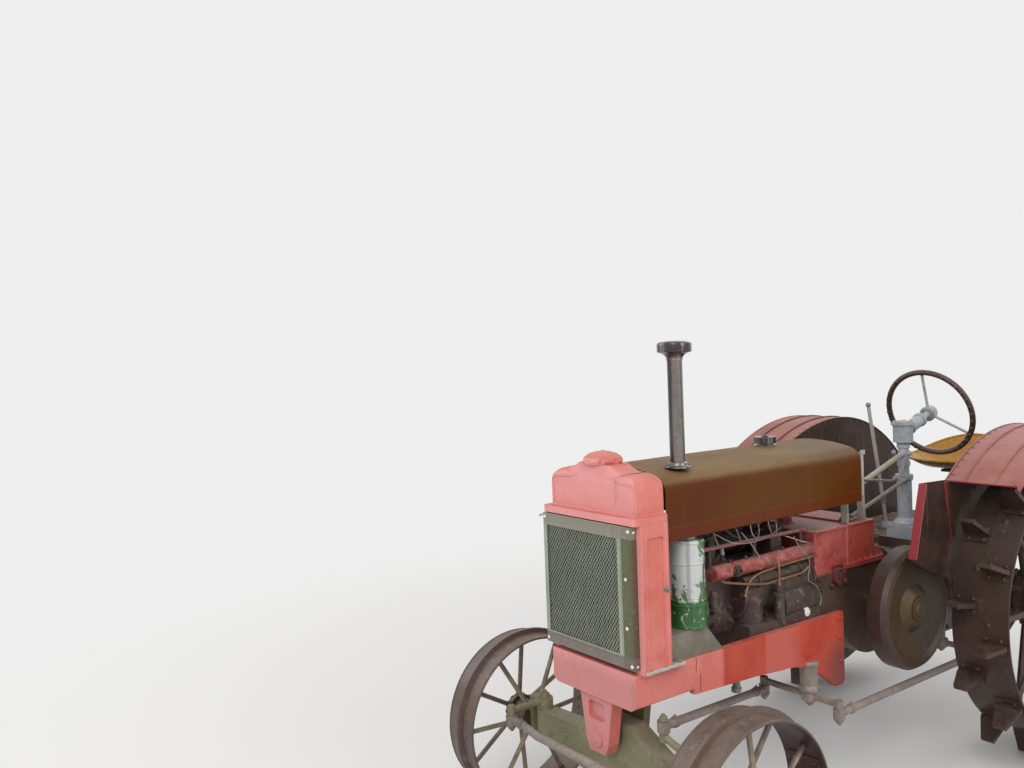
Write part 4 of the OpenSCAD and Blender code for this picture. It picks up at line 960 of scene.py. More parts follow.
class TRACTOR_OT_radiator(bpy.types.Operator):
    """Adds the tank's raised border and filler foot, the cheek beads, foot strips, bolts and cap pin"""

    bl_idname = "tractor.radiator"
    bl_label = "Radiator"

    def execute(self, context):
        bolt = context.scene.tractor.bolt
        low, high = node_box("radiator_sides")
        half = high[0]
        # Raised border of the tank's face, higher in the middle, from foot to foot
        x = np.array([-0.1915, -0.1915, -0.19, -0.1, -0.04, 0.05, 0.12, 0.19, 0.1915, 0.1915])
        z = np.array([1.15, 1.19, 1.23, 1.24, 1.254, 1.252, 1.237, 1.229, 1.19, 1.15])
        border = smooth_line(np.stack([x, shoulder_y(z), z], 1), 6)
        joint_z = 1.1375
        raised = [bead(0.0032, 10, border, (1, 0.8), up=REAR),
                  bead(0.0045, 10, [[-0.2, 0.0285, joint_z], [0.2, 0.0285, joint_z]])]
        for side in (-1, 1):
            raised.append(bead(0.0045, 10, [[side * 0.2025, y, joint_z] for y in (0.03, 0.143)]))
            for y, r in ((high[1] - 0.007, 0.0065), (low[1] + 0.006, 0.004)):
                cheek = [[side * half, y, z] for z in (low[2] + 0.016, high[2] - 0.002)]
                raised.append(bead(r, 12, cheek, (0.5, 1), up=REAR))
        cap_top = node_box("radiator_cap")[1][2]
        # Flared foot of the filler step: its outline (cos a, sin a)^0.62 grows as it falls to the tank's top
        rows, columns = 9, 72
        a = np.arange(columns) * TAU / columns
        t = np.linspace(0, 1, rows)[:, None]
        corner = [np.sign(f(a)) * np.abs(f(a)) ** 0.62 for f in (np.cos, np.sin)]
        across, depth = (0.0905 + 0.066 * t) * corner[0], 0.084 + (0.051 + 0.0035 * t ** 1.5) * corner[1]
        inside = np.clip(np.maximum(TANK_FACE - depth, depth - 0.11), 0, TANK_ROUND - 0.001)
        under = TANK_SHOULDER + np.sqrt(TANK_ROUND ** 2 - inside ** 2)
        flare = np.stack([across, depth, under - 0.0004 + (1.2838 - under) * (1 - t) ** 1.9], -1)
        raised.append((flare.reshape(-1, 3), grid_faces(rows, columns, wrap_columns=True)))
        pin = joined(disc(0.009, 0.003), dome(0.005, 0.005))
        raised.append(turned(pin, (0, 0.08, cap_top - 0.0012), TOP))
        make_piece("radiator_beads", joined(*raised), "faded_red", "chassis")
        sole, heel = low[2] - 0.0002, 0.197
        feet = both_sides(boxes((half - 0.012, low[1] + 0.004, sole, half + 0.005, heel, low[2] + 0.011),
                                (half - 0.03, high[1], sole, half - 0.012, heel, low[2] + 0.008)))
        make_piece("radiator_feet", feet, "bracket_white", "chassis", bevel=0.0025)
        places = [(s * (half - 0.005), y, low[2] + 0.011) for s in (-1, 1) for y in (0.052, 0.112, 0.178)]
        knob = turned(joined(disc(0.011, 0.004), dome(0.008, 0.011)), (half - 0.002, 0.13, 0.906), LEFT)
        rivets = many(dome(0.006, 0.003), [(s * 0.205, 0.006, 1.1255) for s in (-1, 1)], FRONT)
        bolts = joined(many(hexagon(bolt * 0.72), places, TOP), knob, rivets)
        make_piece("radiator_bolts", bolts, "link_grey", "chassis")
        return {"FINISHED"}


class TRACTOR_OT_front_end(bpy.types.Operator):
    """Adds the bolts of the front frame and rails, the relay's sleeve and the cracks in the rail's paint"""

    bl_idname = "tractor.front_end"
    bl_label = "Front frame and rails"

    def execute(self, context):
        bolt = context.scene.tractor.bolt
        pivot = turned(joined(disc(0.024, 0.005), dome(0.013, 0.008)), (0, 0.016, 0.4), FRONT)
        walls = [(0.197, 1.034, z) for z in (0.63, 0.56, 0.47)]
        deck = [(s * 0.165, y, 0.7477) for s in (-1, 1) for y in (0.175, 0.3)]
        bolts = joined(pivot, many(hexagon(bolt * 0.8), deck, TOP),
                       both_sides(many(hexagon(bolt * 0.8, 0.003), walls, LEFT)))
        make_piece("frame_bolts", bolts, "faded_red", "chassis")
        # Turned sleeve of the relay's pivot, under the left rail
        sleeve = lathe([(0.0302, 0.402), (0.036, 0.403), (0.037, 0.408), (0.036, 0.419), (0.0312, 0.424),
                        (0.0312, 0.488), (0.036, 0.494), (0.037, 0.504), (0.0302, 0.5125)],
                       (ARM_X, RELAY_Y, 0), TOP, 32)
        stub_x, stub_y = 0.15, 0.514
        stub = joined(tube([(stub_x, stub_y, 0.6), (stub_x, stub_y, 0.474)], 0.013, 14, 1),
                      turned(hexagon(0.018, 0, False), (stub_x, stub_y, 0.488), DOWN))
        make_piece("relay_sleeve", joined(sleeve, stub), "link_grey", "chassis")
        cracks = []
        for y, z, tall in ((0.288, 0.6, 0.06), (0.27, 0.656, 0.045)):
            line = [(0.1978, y, z), (0.198, y + 0.0012, z - tall * 0.4), (0.198, y - 0.0008, z - tall * 0.7),
                    (0.1976, y + 0.0005, z - tall)]
            cracks.append(tube(line, 0.0011, 6, 2))
        make_piece("rail_cracks", joined(*cracks), "dark_oil", "chassis")
        return {"FINISHED"}


class TRACTOR_OT_intake(bpy.types.Operator):
    """Adds the air cleaner's rings and clips, and the stack's pipe with its domed cap and flange bolts"""

    bl_idname = "tractor.intake"
    bl_label = "Air cleaner and stack"

    def execute(self, context):
        at = (CLEANER_X, CLEANER_Y, 0)
        rings = []
        for z, r, wide in ((0.752, 0.0615, 0.006), (0.796, 0.0612, 0.004), (0.8225, 0.0655, 0.004),
                           (0.8365, 0.0605, 0.005), (0.846, 0.0585, 0.003), (0.955, 0.0588, 0.005),
                           (1.022, 0.0595, 0.006)):
            profile = [(r - 0.004, z - wide), (r, z - wide * 0.5), (r + 0.001, z), (r, z + wide * 0.5),
                       (r - 0.004, z + wide)]
            rings.append(lathe(profile, at, TOP, 48))
        make_piece("cleaner_rings", joined(*rings), "cleaner_green", "chassis")
        wires, clip = [], boxes((-0.004, -0.005, -0.002, 0.004, 0.005, 0.003))
        for turn in (-0.55, 1.15, 2.9):
            out = np.array([math.cos(turn), math.sin(turn), 0])
            foot, top = (np.array(at) + out * 0.0665 + [0, 0, z] for z in (0.772, 0.838))
            line = [foot - out * 0.006, foot, (foot + top) / 2 + out * 0.0015, top, top - out * 0.008]
            wires.append(tube(line, 0.0012, 8))
            wires.append(turned(clip, foot + [0, 0, 0.008], out))
        make_piece("cleaner_clips", joined(*wires), "link_grey", "chassis")
        # Smooth drawn pipe with a collar, a small roll under its neck and a domed cap
        pipe = (0.14, 0.277, 0)
        profile = [(0, 1.2585), (0.04, 1.259), (0.04, 1.266), (0.033, 1.268), (0.0305, 1.276),
                   (0.025, 1.279), (0.0245, 1.29), (0.0245, 1.602), (0.0262, 1.6045), (0.0262, 1.6085),
                   (0.025, 1.611), (0.033, 1.622), (0.044, 1.628), (0.053, 1.631), (0.0555, 1.635),
                   (0.0555, 1.655), (0.053, 1.661), (0.045, 1.6645), (0.02, 1.6675), (0, 1.668)]
        line = smooth_line(np.array([(r, 0, z) for r, z in profile]), 4)
        stack = joined(lathe([(max(r, 0), z) for r, _, z in line], pipe, TOP, 72),
                       many(hexagon(0.005), ring((pipe[0], pipe[1], 1.2655), TOP, 0.0365, 4, 0.8), TOP))
        make_piece("stack_pipe", stack, "stack_metal", "chassis", ["air_stack"])
        return {"FINISHED"}


def plug_and_lead(place, lead):
    """A spark plug standing on a place: steel hexagon, white insulator, and the lead from its tip."""
    shell = lathe([(0, 0.01), (0.009, 0.01), (0.009, 0.022), (0, 0.022)], ORIGIN, TOP, 16)
    steel = turned(joined(hexagon(0.0125, 0, True), shell), place, TOP)
    white = lathe([(0, 0.021), (0.0075, 0.021), (0.0078, 0.032), (0.006, 0.036), (0.0064, 0.04),
                   (0.005, 0.054), (0, 0.054)], ORIGIN, TOP, 16)
    tip = np.array(place) + [0, 0, 0.058]
    wire = tube([tip - [0, 0, 0.006], tip + [0, 0, 0.006], *lead], 0.0034, 8)
    return steel, turned(white, place, TOP), wire


class TRACTOR_OT_engine(bpy.types.Operator):
    """Adds the engine's pipes, wires, plugs, side rail, bands and nuts on its open left side and top"""

    bl_idname = "tractor.engine"
    bl_label = "Engine"

    def execute(self, context):
        self.pipes_and_wires()
        steels = self.plugs()
        self.side_rail()
        self.bands()
        self.nuts(context.scene.tractor.bolt, steels)
        return {"FINISHED"}

    def pipes_and_wires(self):
        """Copper pipes on the block's side, and bright wires below the hood."""
        feed = [(0.168, y, z) for y, z in ((0.551, 0.794), (0.568, 0.828), (0.601, 0.853), (0.692, 0.865),
                                           (0.919, 0.871), (0.954, 0.869))]
        drain = [(0.173, y, z) for y, z in ((0.427, 0.87), (0.468, 0.856), (0.641, 0.822), (0.75, 0.822),
                                            (0.85, 0.824), (0.894, 0.839))]
        stub = [(0.168, 0.724, 0.901), (0.178, 0.722, 0.868), (0.18, 0.719, 0.831), (0.182, 0.715, 0.806)]
        copper = joined(tube(feed, 0.0042, 10), tube(drain, 0.0045, 10), tube(stub, 0.004, 10),
                        many(hexagon(0.0075, 0, False), [stub[-1], feed[0]], TOP))
        make_piece("oil_pipes", copper, "copper", "chassis")
        down = [(0.172, y, z) for y, z in ((0.816, 0.962), (0.853, 0.911), (0.898, 0.874), (0.902, 0.837),
                                           (0.894, 0.791), (0.94, 0.761), (0.965, 0.705), (0.93, 0.66))]
        across = [(0.15, 0.965, 0.905), (0.16, 0.93, 0.918), (0.158, 0.88, 0.932), (0.1, 0.838, 0.955)]
        lines = [(down, 0.0019), (across, 0.0022)]
        for y, sag in ((0.655, 0.004), (0.752, -0.008)):
            lines.append(([(0.112, y, 1.02), (0.118, y + 0.004, 0.985), (0.12, y + 0.022, 0.966 + sag),
                           (0.116, y + 0.042, 0.984), (0.108, y + 0.047, 1.02)], 0.0021))
        lines.append(([(0.1, 0.48, 1.01), (0.128, 0.56, 0.968), (0.128, 0.7, 0.962),
                       (0.11, 0.83, 0.985)], 0.0019))
        lines.append(([(0.118, 0.6, 1.0), (0.13, 0.64, 0.95), (0.15, 0.655, 0.905),
                       (0.158, 0.65, 0.868)], 0.0019))
        make_piece("bright_wires", joined(*[tube(line, r, 8) for line, r in lines]), "bare_steel", "chassis")

    def plugs(self):
        """Two spark plugs with their leads and a hose, and a white cap. Returns the plugs' steel shells."""
        leads, steels, whites = [], [], []
        for y, rise in ((0.44, 0.05), (0.536, 0.03)):
            path = [(0.082, y + 0.04, 0.985 + rise * 0.3), (0.06, y + 0.14, 1.0), (-0.04, 0.78, 0.995),
                    (-0.12, 0.95, 0.962), (-0.175, 1.0, 0.905)]
            steel, white, lead = plug_and_lead((0.086, y, 0.905), path)
            steels.append(steel)
            whites.append(white)
            leads.append(lead)
        make_piece("plug_insulators", joined(*whites), "bracket_white", "chassis")
        cap = turned(joined(disc(0.017, 0.012, 0.004), dome(0.01, 0.017)), (0.166, 0.878, 0.678), LEFT)
        make_piece("white_cap", cap, "white_paint_and_glint", "chassis")
        hose = [(0.12, 0.5, 1.036), (0.118, 0.56, 0.992), (0.098, 0.66, 0.972), (0.08, 0.76, 0.985)]
        make_piece("plug_leads", joined(*leads, tube(hose, 0.006, 10)), "black_rubber", "chassis")
        return steels

    def side_rail(self):
        """A narrow rail above the side pipe, on two slanted struts."""
        rail = tube([(0.122, 0.372, 0.968), (0.122, 0.958, 0.962)], 0.0068, 14, 1)
        make_piece("side_rail", rail, "red_casting", "chassis")
        struts = [tube([(0.118, y, 1.03), (0.124, y + 0.022, 0.974)], 0.0026, 8, 1) for y in (0.452, 0.566)]
        make_piece("rail_struts", joined(*struts), "link_grey", "chassis")

    def bands(self):
        """Long pipes on the head, bands round the cylinders, and flanges of the side pipe and the bowl."""
        # The long pipes, blocks and bent pipe on the head fill the gap above it with dark metal: the fan
        # shaft and, beside it, dark pieces that stand in for shade there.
        pipe_x, pipe_z, start, end = -0.01, 0.938, 0.33, 0.96
        rods = [tube([(-0.1, 0.56, 0.893), (-0.1, end, 0.893)], 0.032, 20, 1),
                tube([(pipe_x, start, pipe_z), (pipe_x, end, pipe_z)], 0.032, 28, 1)]
        flange = [(0.03, 0.7), (0.042, 0.702), (0.042, 0.716), (0.03, 0.718)]
        rods.append(lathe(flange, (pipe_x, 0, pipe_z), REAR, 32))
        rods.append(boxes((-0.03, 0.56, 0.85, 0.01, 0.6, 0.925), (-0.03, 0.86, 0.85, 0.01, 0.9, 0.925),
                          (-0.03, 0.42, 0.903, 0.01, 0.46, 0.925)))
        bent = [(-0.07, 0.46, 0.903), (-0.07, 0.5, 0.985), (-0.07, 0.7, 0.992), (-0.06, 0.962, 0.93)]
        rods.append(tube(bent, 0.013, 12))
        rods.append(tube([(-0.125, start, 0.952), (-0.125, 0.962, 0.952)], 0.026, 20, 1))
        rods += [turned(joined(disc(0.008, 0.06), disc(0.013, 0.006)), (0.122, y, 0.906), TOP)
                 for y in (0.43, 0.66, 0.92)]
        # Small upright cylinder on an elbow at the head's front corner
        cup = [(0, 0.77), (0.013, 0.772), (0.0155, 0.78), (0.0155, 0.826), (0.011, 0.832), (0, 0.834)]
        rods.append(lathe(cup, (0.14, 0.424, 0), TOP, 24))
        rods.append(tube([(0.1, 0.432, 0.8), (0.14, 0.424, 0.8)], 0.008, 12, 1))
        for y0, y1, r in ((0.5615, 0.574, 0.0885), (0.668, 0.676, 0.0858), (0.7515, 0.7595, 0.0858),
                          (0.946, 0.9595, 0.0885)):
            hoop = [(r - 0.01, y0), (r, y0), (r + 0.0006, (y0 + y1) / 2), (r, y1), (r - 0.01, y1)]
            rods += [lathe(hoop, (x, 0, CYLINDER_Z), REAR, 64) for x in (-CYLINDER_X, CYLINDER_X)]
        rods += [band(0.018, 0.0265, 0.006, (SIDE_PIPE_X, 0, SIDE_PIPE_Z), REAR, 32, y)
                 for y in (0.64, 0.752, 0.868)]
        bowl = (0.118, 0.622, 0)
        rim = [(0.0515, 0.756), (0.0555, 0.758), (0.0555, 0.766), (0.0515, 0.768)]
        drain = [(0, 0.632), (0.009, 0.632), (0.01, 0.642), (0.03, 0.646), (0, 0.646)]
        rods += [lathe(rim, bowl, TOP, 48), lathe(drain, bowl, TOP, 24)]
        rods += [band(0.082, 0.0895, 0.005, (0.086, 0, 0.712), REAR, 64, y) for y in (0.768, 0.94)]
        rods.append(turned(joined(disc(0.03, 0.014, 0.004), disc(0.034, 0.004)), (0.072, 0.805, 0.985), TOP))
        port = joined(disc(0.02, 0.006), disc(0.014, 0.012, bore=0.008))
        rods.append(turned(port, (0.1605, 0.527, 0.885), LEFT))
        make_piece("engine_bands", joined(*rods), "engine_grime", "chassis")

    def nuts(self, bolt, steels):
        """Nuts of the block, the head, the front cover, the water neck and the starter's housing."""
        wall, head, face = 0.105, 0.905, 0.405
        sides = [(wall, y, z) for y in (0.455, 0.54) for z in (0.7, 0.745)]
        sides += [(wall, y, 0.69) for y in (0.6, 0.72)]
        tops = [(x, y, head) for x in (-0.085, -0.03, 0.03) for y in (0.455, 0.51, 0.545)]
        fronts = [(x, face, z) for x in (-0.092, 0.092) for z in (0.69, 0.86)]
        fronts += [(0, face, z) for z in (0.7, 0.85)]
        caps = many(joined(disc(0.034, 0.006), hexagon(0.012, 0, False)),
                    [(-0.06, 0.387, 0.772), (0.06, 0.387, 0.772)], FRONT)
        neck = many(hexagon(0.0075, 0.004), ring((0.06, 0.5, 0.919), TOP, 0.029, 4, 0.8), TOP)
        housing = many(hexagon(0.0065), ring((0.086, 0.76, 0.712), FRONT, 0.073, 8), FRONT)
        hose = [lathe([(0.021, y - 0.007), (0.0235, y - 0.006), (0.0235, y + 0.006), (0.021, y + 0.007)],
                      (0.06, 0, 1.015), REAR, 28) for y in (0.175, 0.26)]
        nuts = joined(many(hexagon(bolt, 0.006), sides, LEFT), many(hexagon(bolt, 0.007), tops, TOP), neck,
                      housing, *hose, many(hexagon(bolt, 0.004), fronts, FRONT), caps, *steels,
                      many(hexagon(0.0075, 0.003), [(0.135, y, 0.911) for y in (0.52, 0.6, 0.8)], TOP))
        make_piece("engine_nuts", nuts, "engine_grime", "chassis")


class TRACTOR_OT_right_side(bpy.types.Operator):
    """Adds the manifold's flanges and studs, the magneto's towers and the bolts of the right side"""

    bl_idname = "tractor.right_side"
    bl_label = "Engine right side"

    def execute(self, context):
        bolt = context.scene.tractor.bolt
        pipe_x, port_z = -0.236, 0.81
        flanges = [turned(joined(disc(0.036, 0.008), disc(0.028, 0.012)), (-0.1055, y, port_z), RIGHT)
                   for y in (0.47, 0.52)]
        end = disc(0.034, 0.01)
        flanges += [turned(end, (pipe_x, 0.44, port_z), FRONT), turned(end, (pipe_x, 0.745, port_z), REAR)]
        outlet = [(0.026, 0.56), (0.03, 0.56), (0.031, 0.566), (0.031, 0.574), (0.026, 0.578)]
        flanges.append(lathe(outlet, (pipe_x, 0.9, 0), TOP, 32))
        make_piece("manifold_flanges", joined(*flanges), "rust", "chassis")
        x = node_box("magneto")[0][0]
        face = (x + 0.043, 0.9795, 0.849)
        tower = lathe([(0, 0), (0.013, 0), (0.011, 0.02), (0.008, 0.024), (0, 0.024)], ORIGIN, TOP, 16)
        cover = joined(many(tower, [(x + 0.026, 1.0, 0.887), (x + 0.06, 1.0, 0.887)], TOP),
                       turned(disc(0.036, 0.006), face, FRONT),
                       boxes((x + 0.01, 1.02, 0.892, x + 0.076, 1.12, 0.9)))
        make_piece("magneto_cover", cover, "black_rubber", "chassis", bevel=0.0015)
        nuts = [(-0.1135, y, z) for y in (0.446, 0.495, 0.544) for z in (0.784, 0.836)]
        nuts += [(-0.105, y, 0.69) for y in (0.6, 0.72, 0.84)]
        nuts += [(-CASE_HALF, y, z) for y in (0.985, 1.16, 1.325) for z in (0.725, 0.925)]
        magneto = [(x, y, z) for y in (1.022, 1.118) for z in (0.816, 0.882)]
        nuts = joined(many(hexagon(bolt, 0.006), nuts, RIGHT), many(hexagon(0.006), magneto, RIGHT),
                      many(hexagon(0.0045), ring((face[0], 0.9735, face[2]), FRONT, 0.029, 4, 0.8), FRONT))
        make_piece("right_side_nuts", nuts, "engine_grime", "chassis")
        return {"FINISHED"}


class TRACTOR_OT_case(bpy.types.Operator):
    """Adds the ribs, covers, caps and bolts of the crankcase, the gear case and the axle housing"""

    bl_idname = "tractor.case"
    bl_label = "Main case"

    def execute(self, context):
        bolt = context.scene.tractor.bolt
        half, top, front = CASE_HALF, CASE_TOP, 0.966
        port = (0.1615, 1.1, 0.765)
        side_covers = ((1.45, 0.585, 0.075), (1.64, 0.56, 0.095))
        ribs = [bead(0.0065, 12, [[half, 1.166, 0.806], [half, 1.166, top]], up=REAR),
                bead(0.006, 12, [[half, front, top], [half, 1.335, top]]),
                bead(0.006, 12, [[half, front, 0.806], [half, front, top]], up=REAR)]
        ribs = [both_sides(joined(*ribs)), turned(joined(disc(0.033, 0.006), disc(0.016, 0.01)), port, LEFT),
                boxes((-0.118, 1.19, 0.949, 0.118, 1.335, 0.958)),
                turned(joined(disc(0.032, 0.03, 0.006), disc(0.04, 0.006)), (-0.05, 1.05, 0.95), TOP)]
        for y, z, r in side_covers:
            cover = joined(disc(r, 0.01, 0.003), disc(r * 0.55, 0.018, 0.003))
            ribs.append(both_sides(turned(cover, (0.128, y, z), LEFT)))
        ribs.append(turned(joined(disc(0.085, 0.01, 0.003), disc(0.04, 0.03, 0.003)), (0, 2.085, 0.56), REAR))
        make_piece("case_ribs", joined(*ribs), "red_casting", "chassis", smooth=35)
        lip = [(0.1555, y, 0.803) for y in (1.156, 1.196, 1.236, 1.276, 1.316, 1.356, 1.382)]
        lip_bolts = both_sides(many(hexagon(bolt * 0.7, 0.003), lip, TOP))
        make_piece("lip_bolts", lip_bolts, "red_casting", "chassis")
        lid = [(x, y, 0.958) for x in (-0.105, 0.105) for y in (1.202, 1.262, 1.322)]
        wall = [(half, y, z) for y, z in ((1.06, 0.735), (1.14, 0.735), (0.985, 0.73), (0.985, 0.77))]
        # Rows down the gear case's slope and along its foot
        side = [(0.128, y, 0.8 - (y - 1.42) * 0.2 - 0.03) for y in (1.44, 1.5, 1.56, 1.62, 1.68)]
        side += [(0.128, y, 0.69 - (y - 1.8) * 0.45) for y in (1.82, 1.9, 1.98)]
        side += [(0.128, y, 0.405) for y in (1.54, 1.66, 1.78, 1.9)]
        rounds = np.concatenate([ring((0.138, y, z), LEFT, r, 6, 0.3)
                                 for y, z, r in ((1.45, 0.585, 0.061), (1.64, 0.56, 0.08))])
        bolts = [both_sides(joined(many(hexagon(bolt, 0.004), side, LEFT),
                                   many(hexagon(bolt * 0.85), rounds, LEFT))),
                 many(hexagon(bolt, 0.005), lid, TOP), many(hexagon(bolt, 0.005), wall, LEFT),
                 many(hexagon(0.0075, 0.003), ring((0.1675, port[1], port[2]), LEFT, 0.024, 4, 0.8), LEFT),
                 many(hexagon(bolt), ring((0, 2.095, 0.56), REAR, 0.07, 6), REAR)]
        axle_z = node_centre("rear_wheel_left")[2]
        inner = many(hexagon(bolt * 1.1, 0.004), ring((0.15, REAR_AXLE_Y, axle_z), LEFT, 0.132, 10), LEFT)
        outer = many(hexagon(bolt, 0.004), ring((0.427, REAR_AXLE_Y, axle_z), RIGHT, 0.091, 8), RIGHT)
        make_piece("case_bolts", joined(*bolts, both_sides(joined(inner, outer))), "engine_grime", "chassis")
        return {"FINISHED"}


class TRACTOR_OT_crank(bpy.types.Operator):
    """Adds the flywheel's hub cap, and the crankshaft's nut, hub bolts and rim beads of the belt pulley"""

    bl_idname = "tractor.crank"
    bl_label = "Flywheel and pulley"

    def execute(self, context):
        bolt = context.scene.tractor.bolt
        y, z = CRANK_Y, CRANK_Z
        cap = joined(turned(joined(disc(0.046, 0.005), dome(0.034, 0.012, 28)), (0.35, y, z), LEFT),
                     turned(disc(0.0295, 0.004), (0.358, y, z), LEFT))
        rims = [[(0.131, x), (0.1345, x), (0.1345, x - 0.008), (0.131, x - 0.008)] for x in (-0.222, -0.358)]
        right = joined(turned(hexagon(0.036, 0, False), (-0.346, y, z), RIGHT),
                       many(hexagon(bolt), ring((-0.2565, y, z), RIGHT, 0.086, 6), RIGHT),
                       *[lathe(rim, (0, y, z), LEFT, 64) for rim in rims])
        make_piece("crank_nuts", joined(cap, right), "rust", "crank_body")
        return {"FINISHED"}


def node_centre(name):
    """The middle of a node's box at rest, with Y counted from the guard's front plane."""
    low, high = node_box(name)
    return (low + high) / 2


def clamps(start, end, places):
    """Clamp rings with their nuts on a rod, at places from its start, or from its end where negative."""
    start, end, radius = np.array(start), np.array(end), 0.014
    axis = unit(end - start)
    parts = []
    for place in places:
        at = (start if place > 0 else end) + axis * place
        parts.append(turned(band(radius - 0.003, radius + 0.003, 0.009, ORIGIN, TOP, 24), at, axis))
        parts.append(turned(hexagon(0.0062, 0.003), at + [0, 0, radius + 0.001], TOP))
    return joined(*parts)


class TRACTOR_OT_steering(bpy.types.Operator):
    """Adds the nuts, grease fittings and clamps of the front axle and the steering links"""

    bl_idname = "tractor.steering"
    bl_label = "Axle and steering"

    def execute(self, context):
        for side, tag in ((1, "left"), (-1, "right")):
            self.knuckle(side, tag)
        tie_z, inset = 0.3557, 0.075
        ends = [(x, TIE_ROD_Y, tie_z) for x in (-KING_PIN_X, KING_PIN_X)]
        eye = joined(disc(0.0215, 0.003), disc(0.0215, 0.003))
        eyes = [turned(eye, (x, TIE_ROD_Y, tie_z + 0.0115), TOP) for x in (-KING_PIN_X, KING_PIN_X)]
        make_piece("tie_rod_clamps", joined(clamps(*ends, (0.06, -0.06)), *eyes), "link_grey", "tie_rod_body")
        drag = clamps((0.2, FRONT_AXLE_Y, 0.478), (-0.013, RELAY_Y, LINK_Z), (inset, -inset))
        make_piece("drag_link_clamps", drag, "link_grey", "drag_link_body")
        rear = clamps((LINK_X, RELAY_Y, LINK_Z), (LINK_X, PITMAN_Y, LINK_Z), (inset, -inset))
        make_piece("rear_link_clamps", rear, "link_grey", "rear_link_body")
        nut = hexagon(0.013, 0.006)
        foot = joined(disc(0.024, 0.004), hexagon(0.016, 0.005, False))
        relay = joined(many(nut, [(-0.013, RELAY_Y, LINK_LOW), (LINK_X, RELAY_Y, LINK_LOW)], DOWN),
                       turned(foot, (ARM_X, RELAY_Y, 0.369), DOWN))
        make_piece("relay_nuts", relay, "link_grey", "relay_body")
        pitman = joined(turned(nut, (LINK_X, PITMAN_Y, LINK_LOW), DOWN),
                        turned(foot, (ARM_X, PITMAN_Y, 0.369), DOWN))
        make_piece("pitman_nuts", pitman, "link_grey", "pitman_body")
        # Pads and strap bolts on the axle beam itself, which stays with the frame
        beam = both_sides(many(hexagon(0.0095, 0.003), [(0.33, 0.081, 0.3), (0.24, 0.081, 0.32)], FRONT))
        make_piece("axle_bolts", beam, "axle_green", "chassis")
        return {"FINISHED"}

    def knuckle(self, side, tag):
        """Nuts of one king pin and of its tie rod arm, and the left one's steering arm."""
        x, y = side * KING_PIN_X, FRONT_AXLE_Y
        plate = [(side * 0.451, y + dy, z) for dy in (-0.021, 0.021) for z in (0.272, 0.35)]
        fitting = joined(disc(0.0042, 0.01), ball((0, 0, 0.011), 0.004, sides=10))
        parts = [turned(hexagon(0.018, 0.008), (x, y, 0.4), TOP),
                 turned(hexagon(0.016, 0.006), (x, y, 0.246), DOWN),
                 turned(hexagon(0.013, 0.006), (x, TIE_ROD_Y, 0.3357), DOWN),
                 turned(joined(disc(0.013, 0.006), dome(0.007, 0.01)), (x, TIE_ROD_Y, 0.403), TOP),
                 many(hexagon(0.0095, 0.003), plate, (side, 0, 0)), turned(fitting, (x, 0.085, 0.388), FRONT)]
        if side > 0:
            arm_nut = joined(disc(0.016, 0.003), hexagon(0.013, 0.006, False))
            parts.append(turned(arm_nut, (0.2, y, 0.498), TOP))
        make_piece("knuckle_nuts_" + tag, joined(*parts), "axle_green", "knuckle_%s_body" % tag)


def on_wheel(shape, side, centre):
    """A shape drawn about a wheel's own axle, local z outwards, laid down: centre + (side z, y, -side x)."""
    x, y, z = np.asarray(shape[0], float).T
    return np.asarray(centre) + np.stack([side * z, y, -side * x], 1), shape[1]


def spoke_places(count, radius, heights):
    """Places at every spoke's end on a wheel, with two heights in turn, and the outward direction of each."""
    a = np.arange(count) * TAU / count
    out = np.stack([np.cos(a), np.sin(a), 0 * a], 1)
    return out * radius + np.array([[0, 0, heights[i % 2]] for i in range(count)]), out


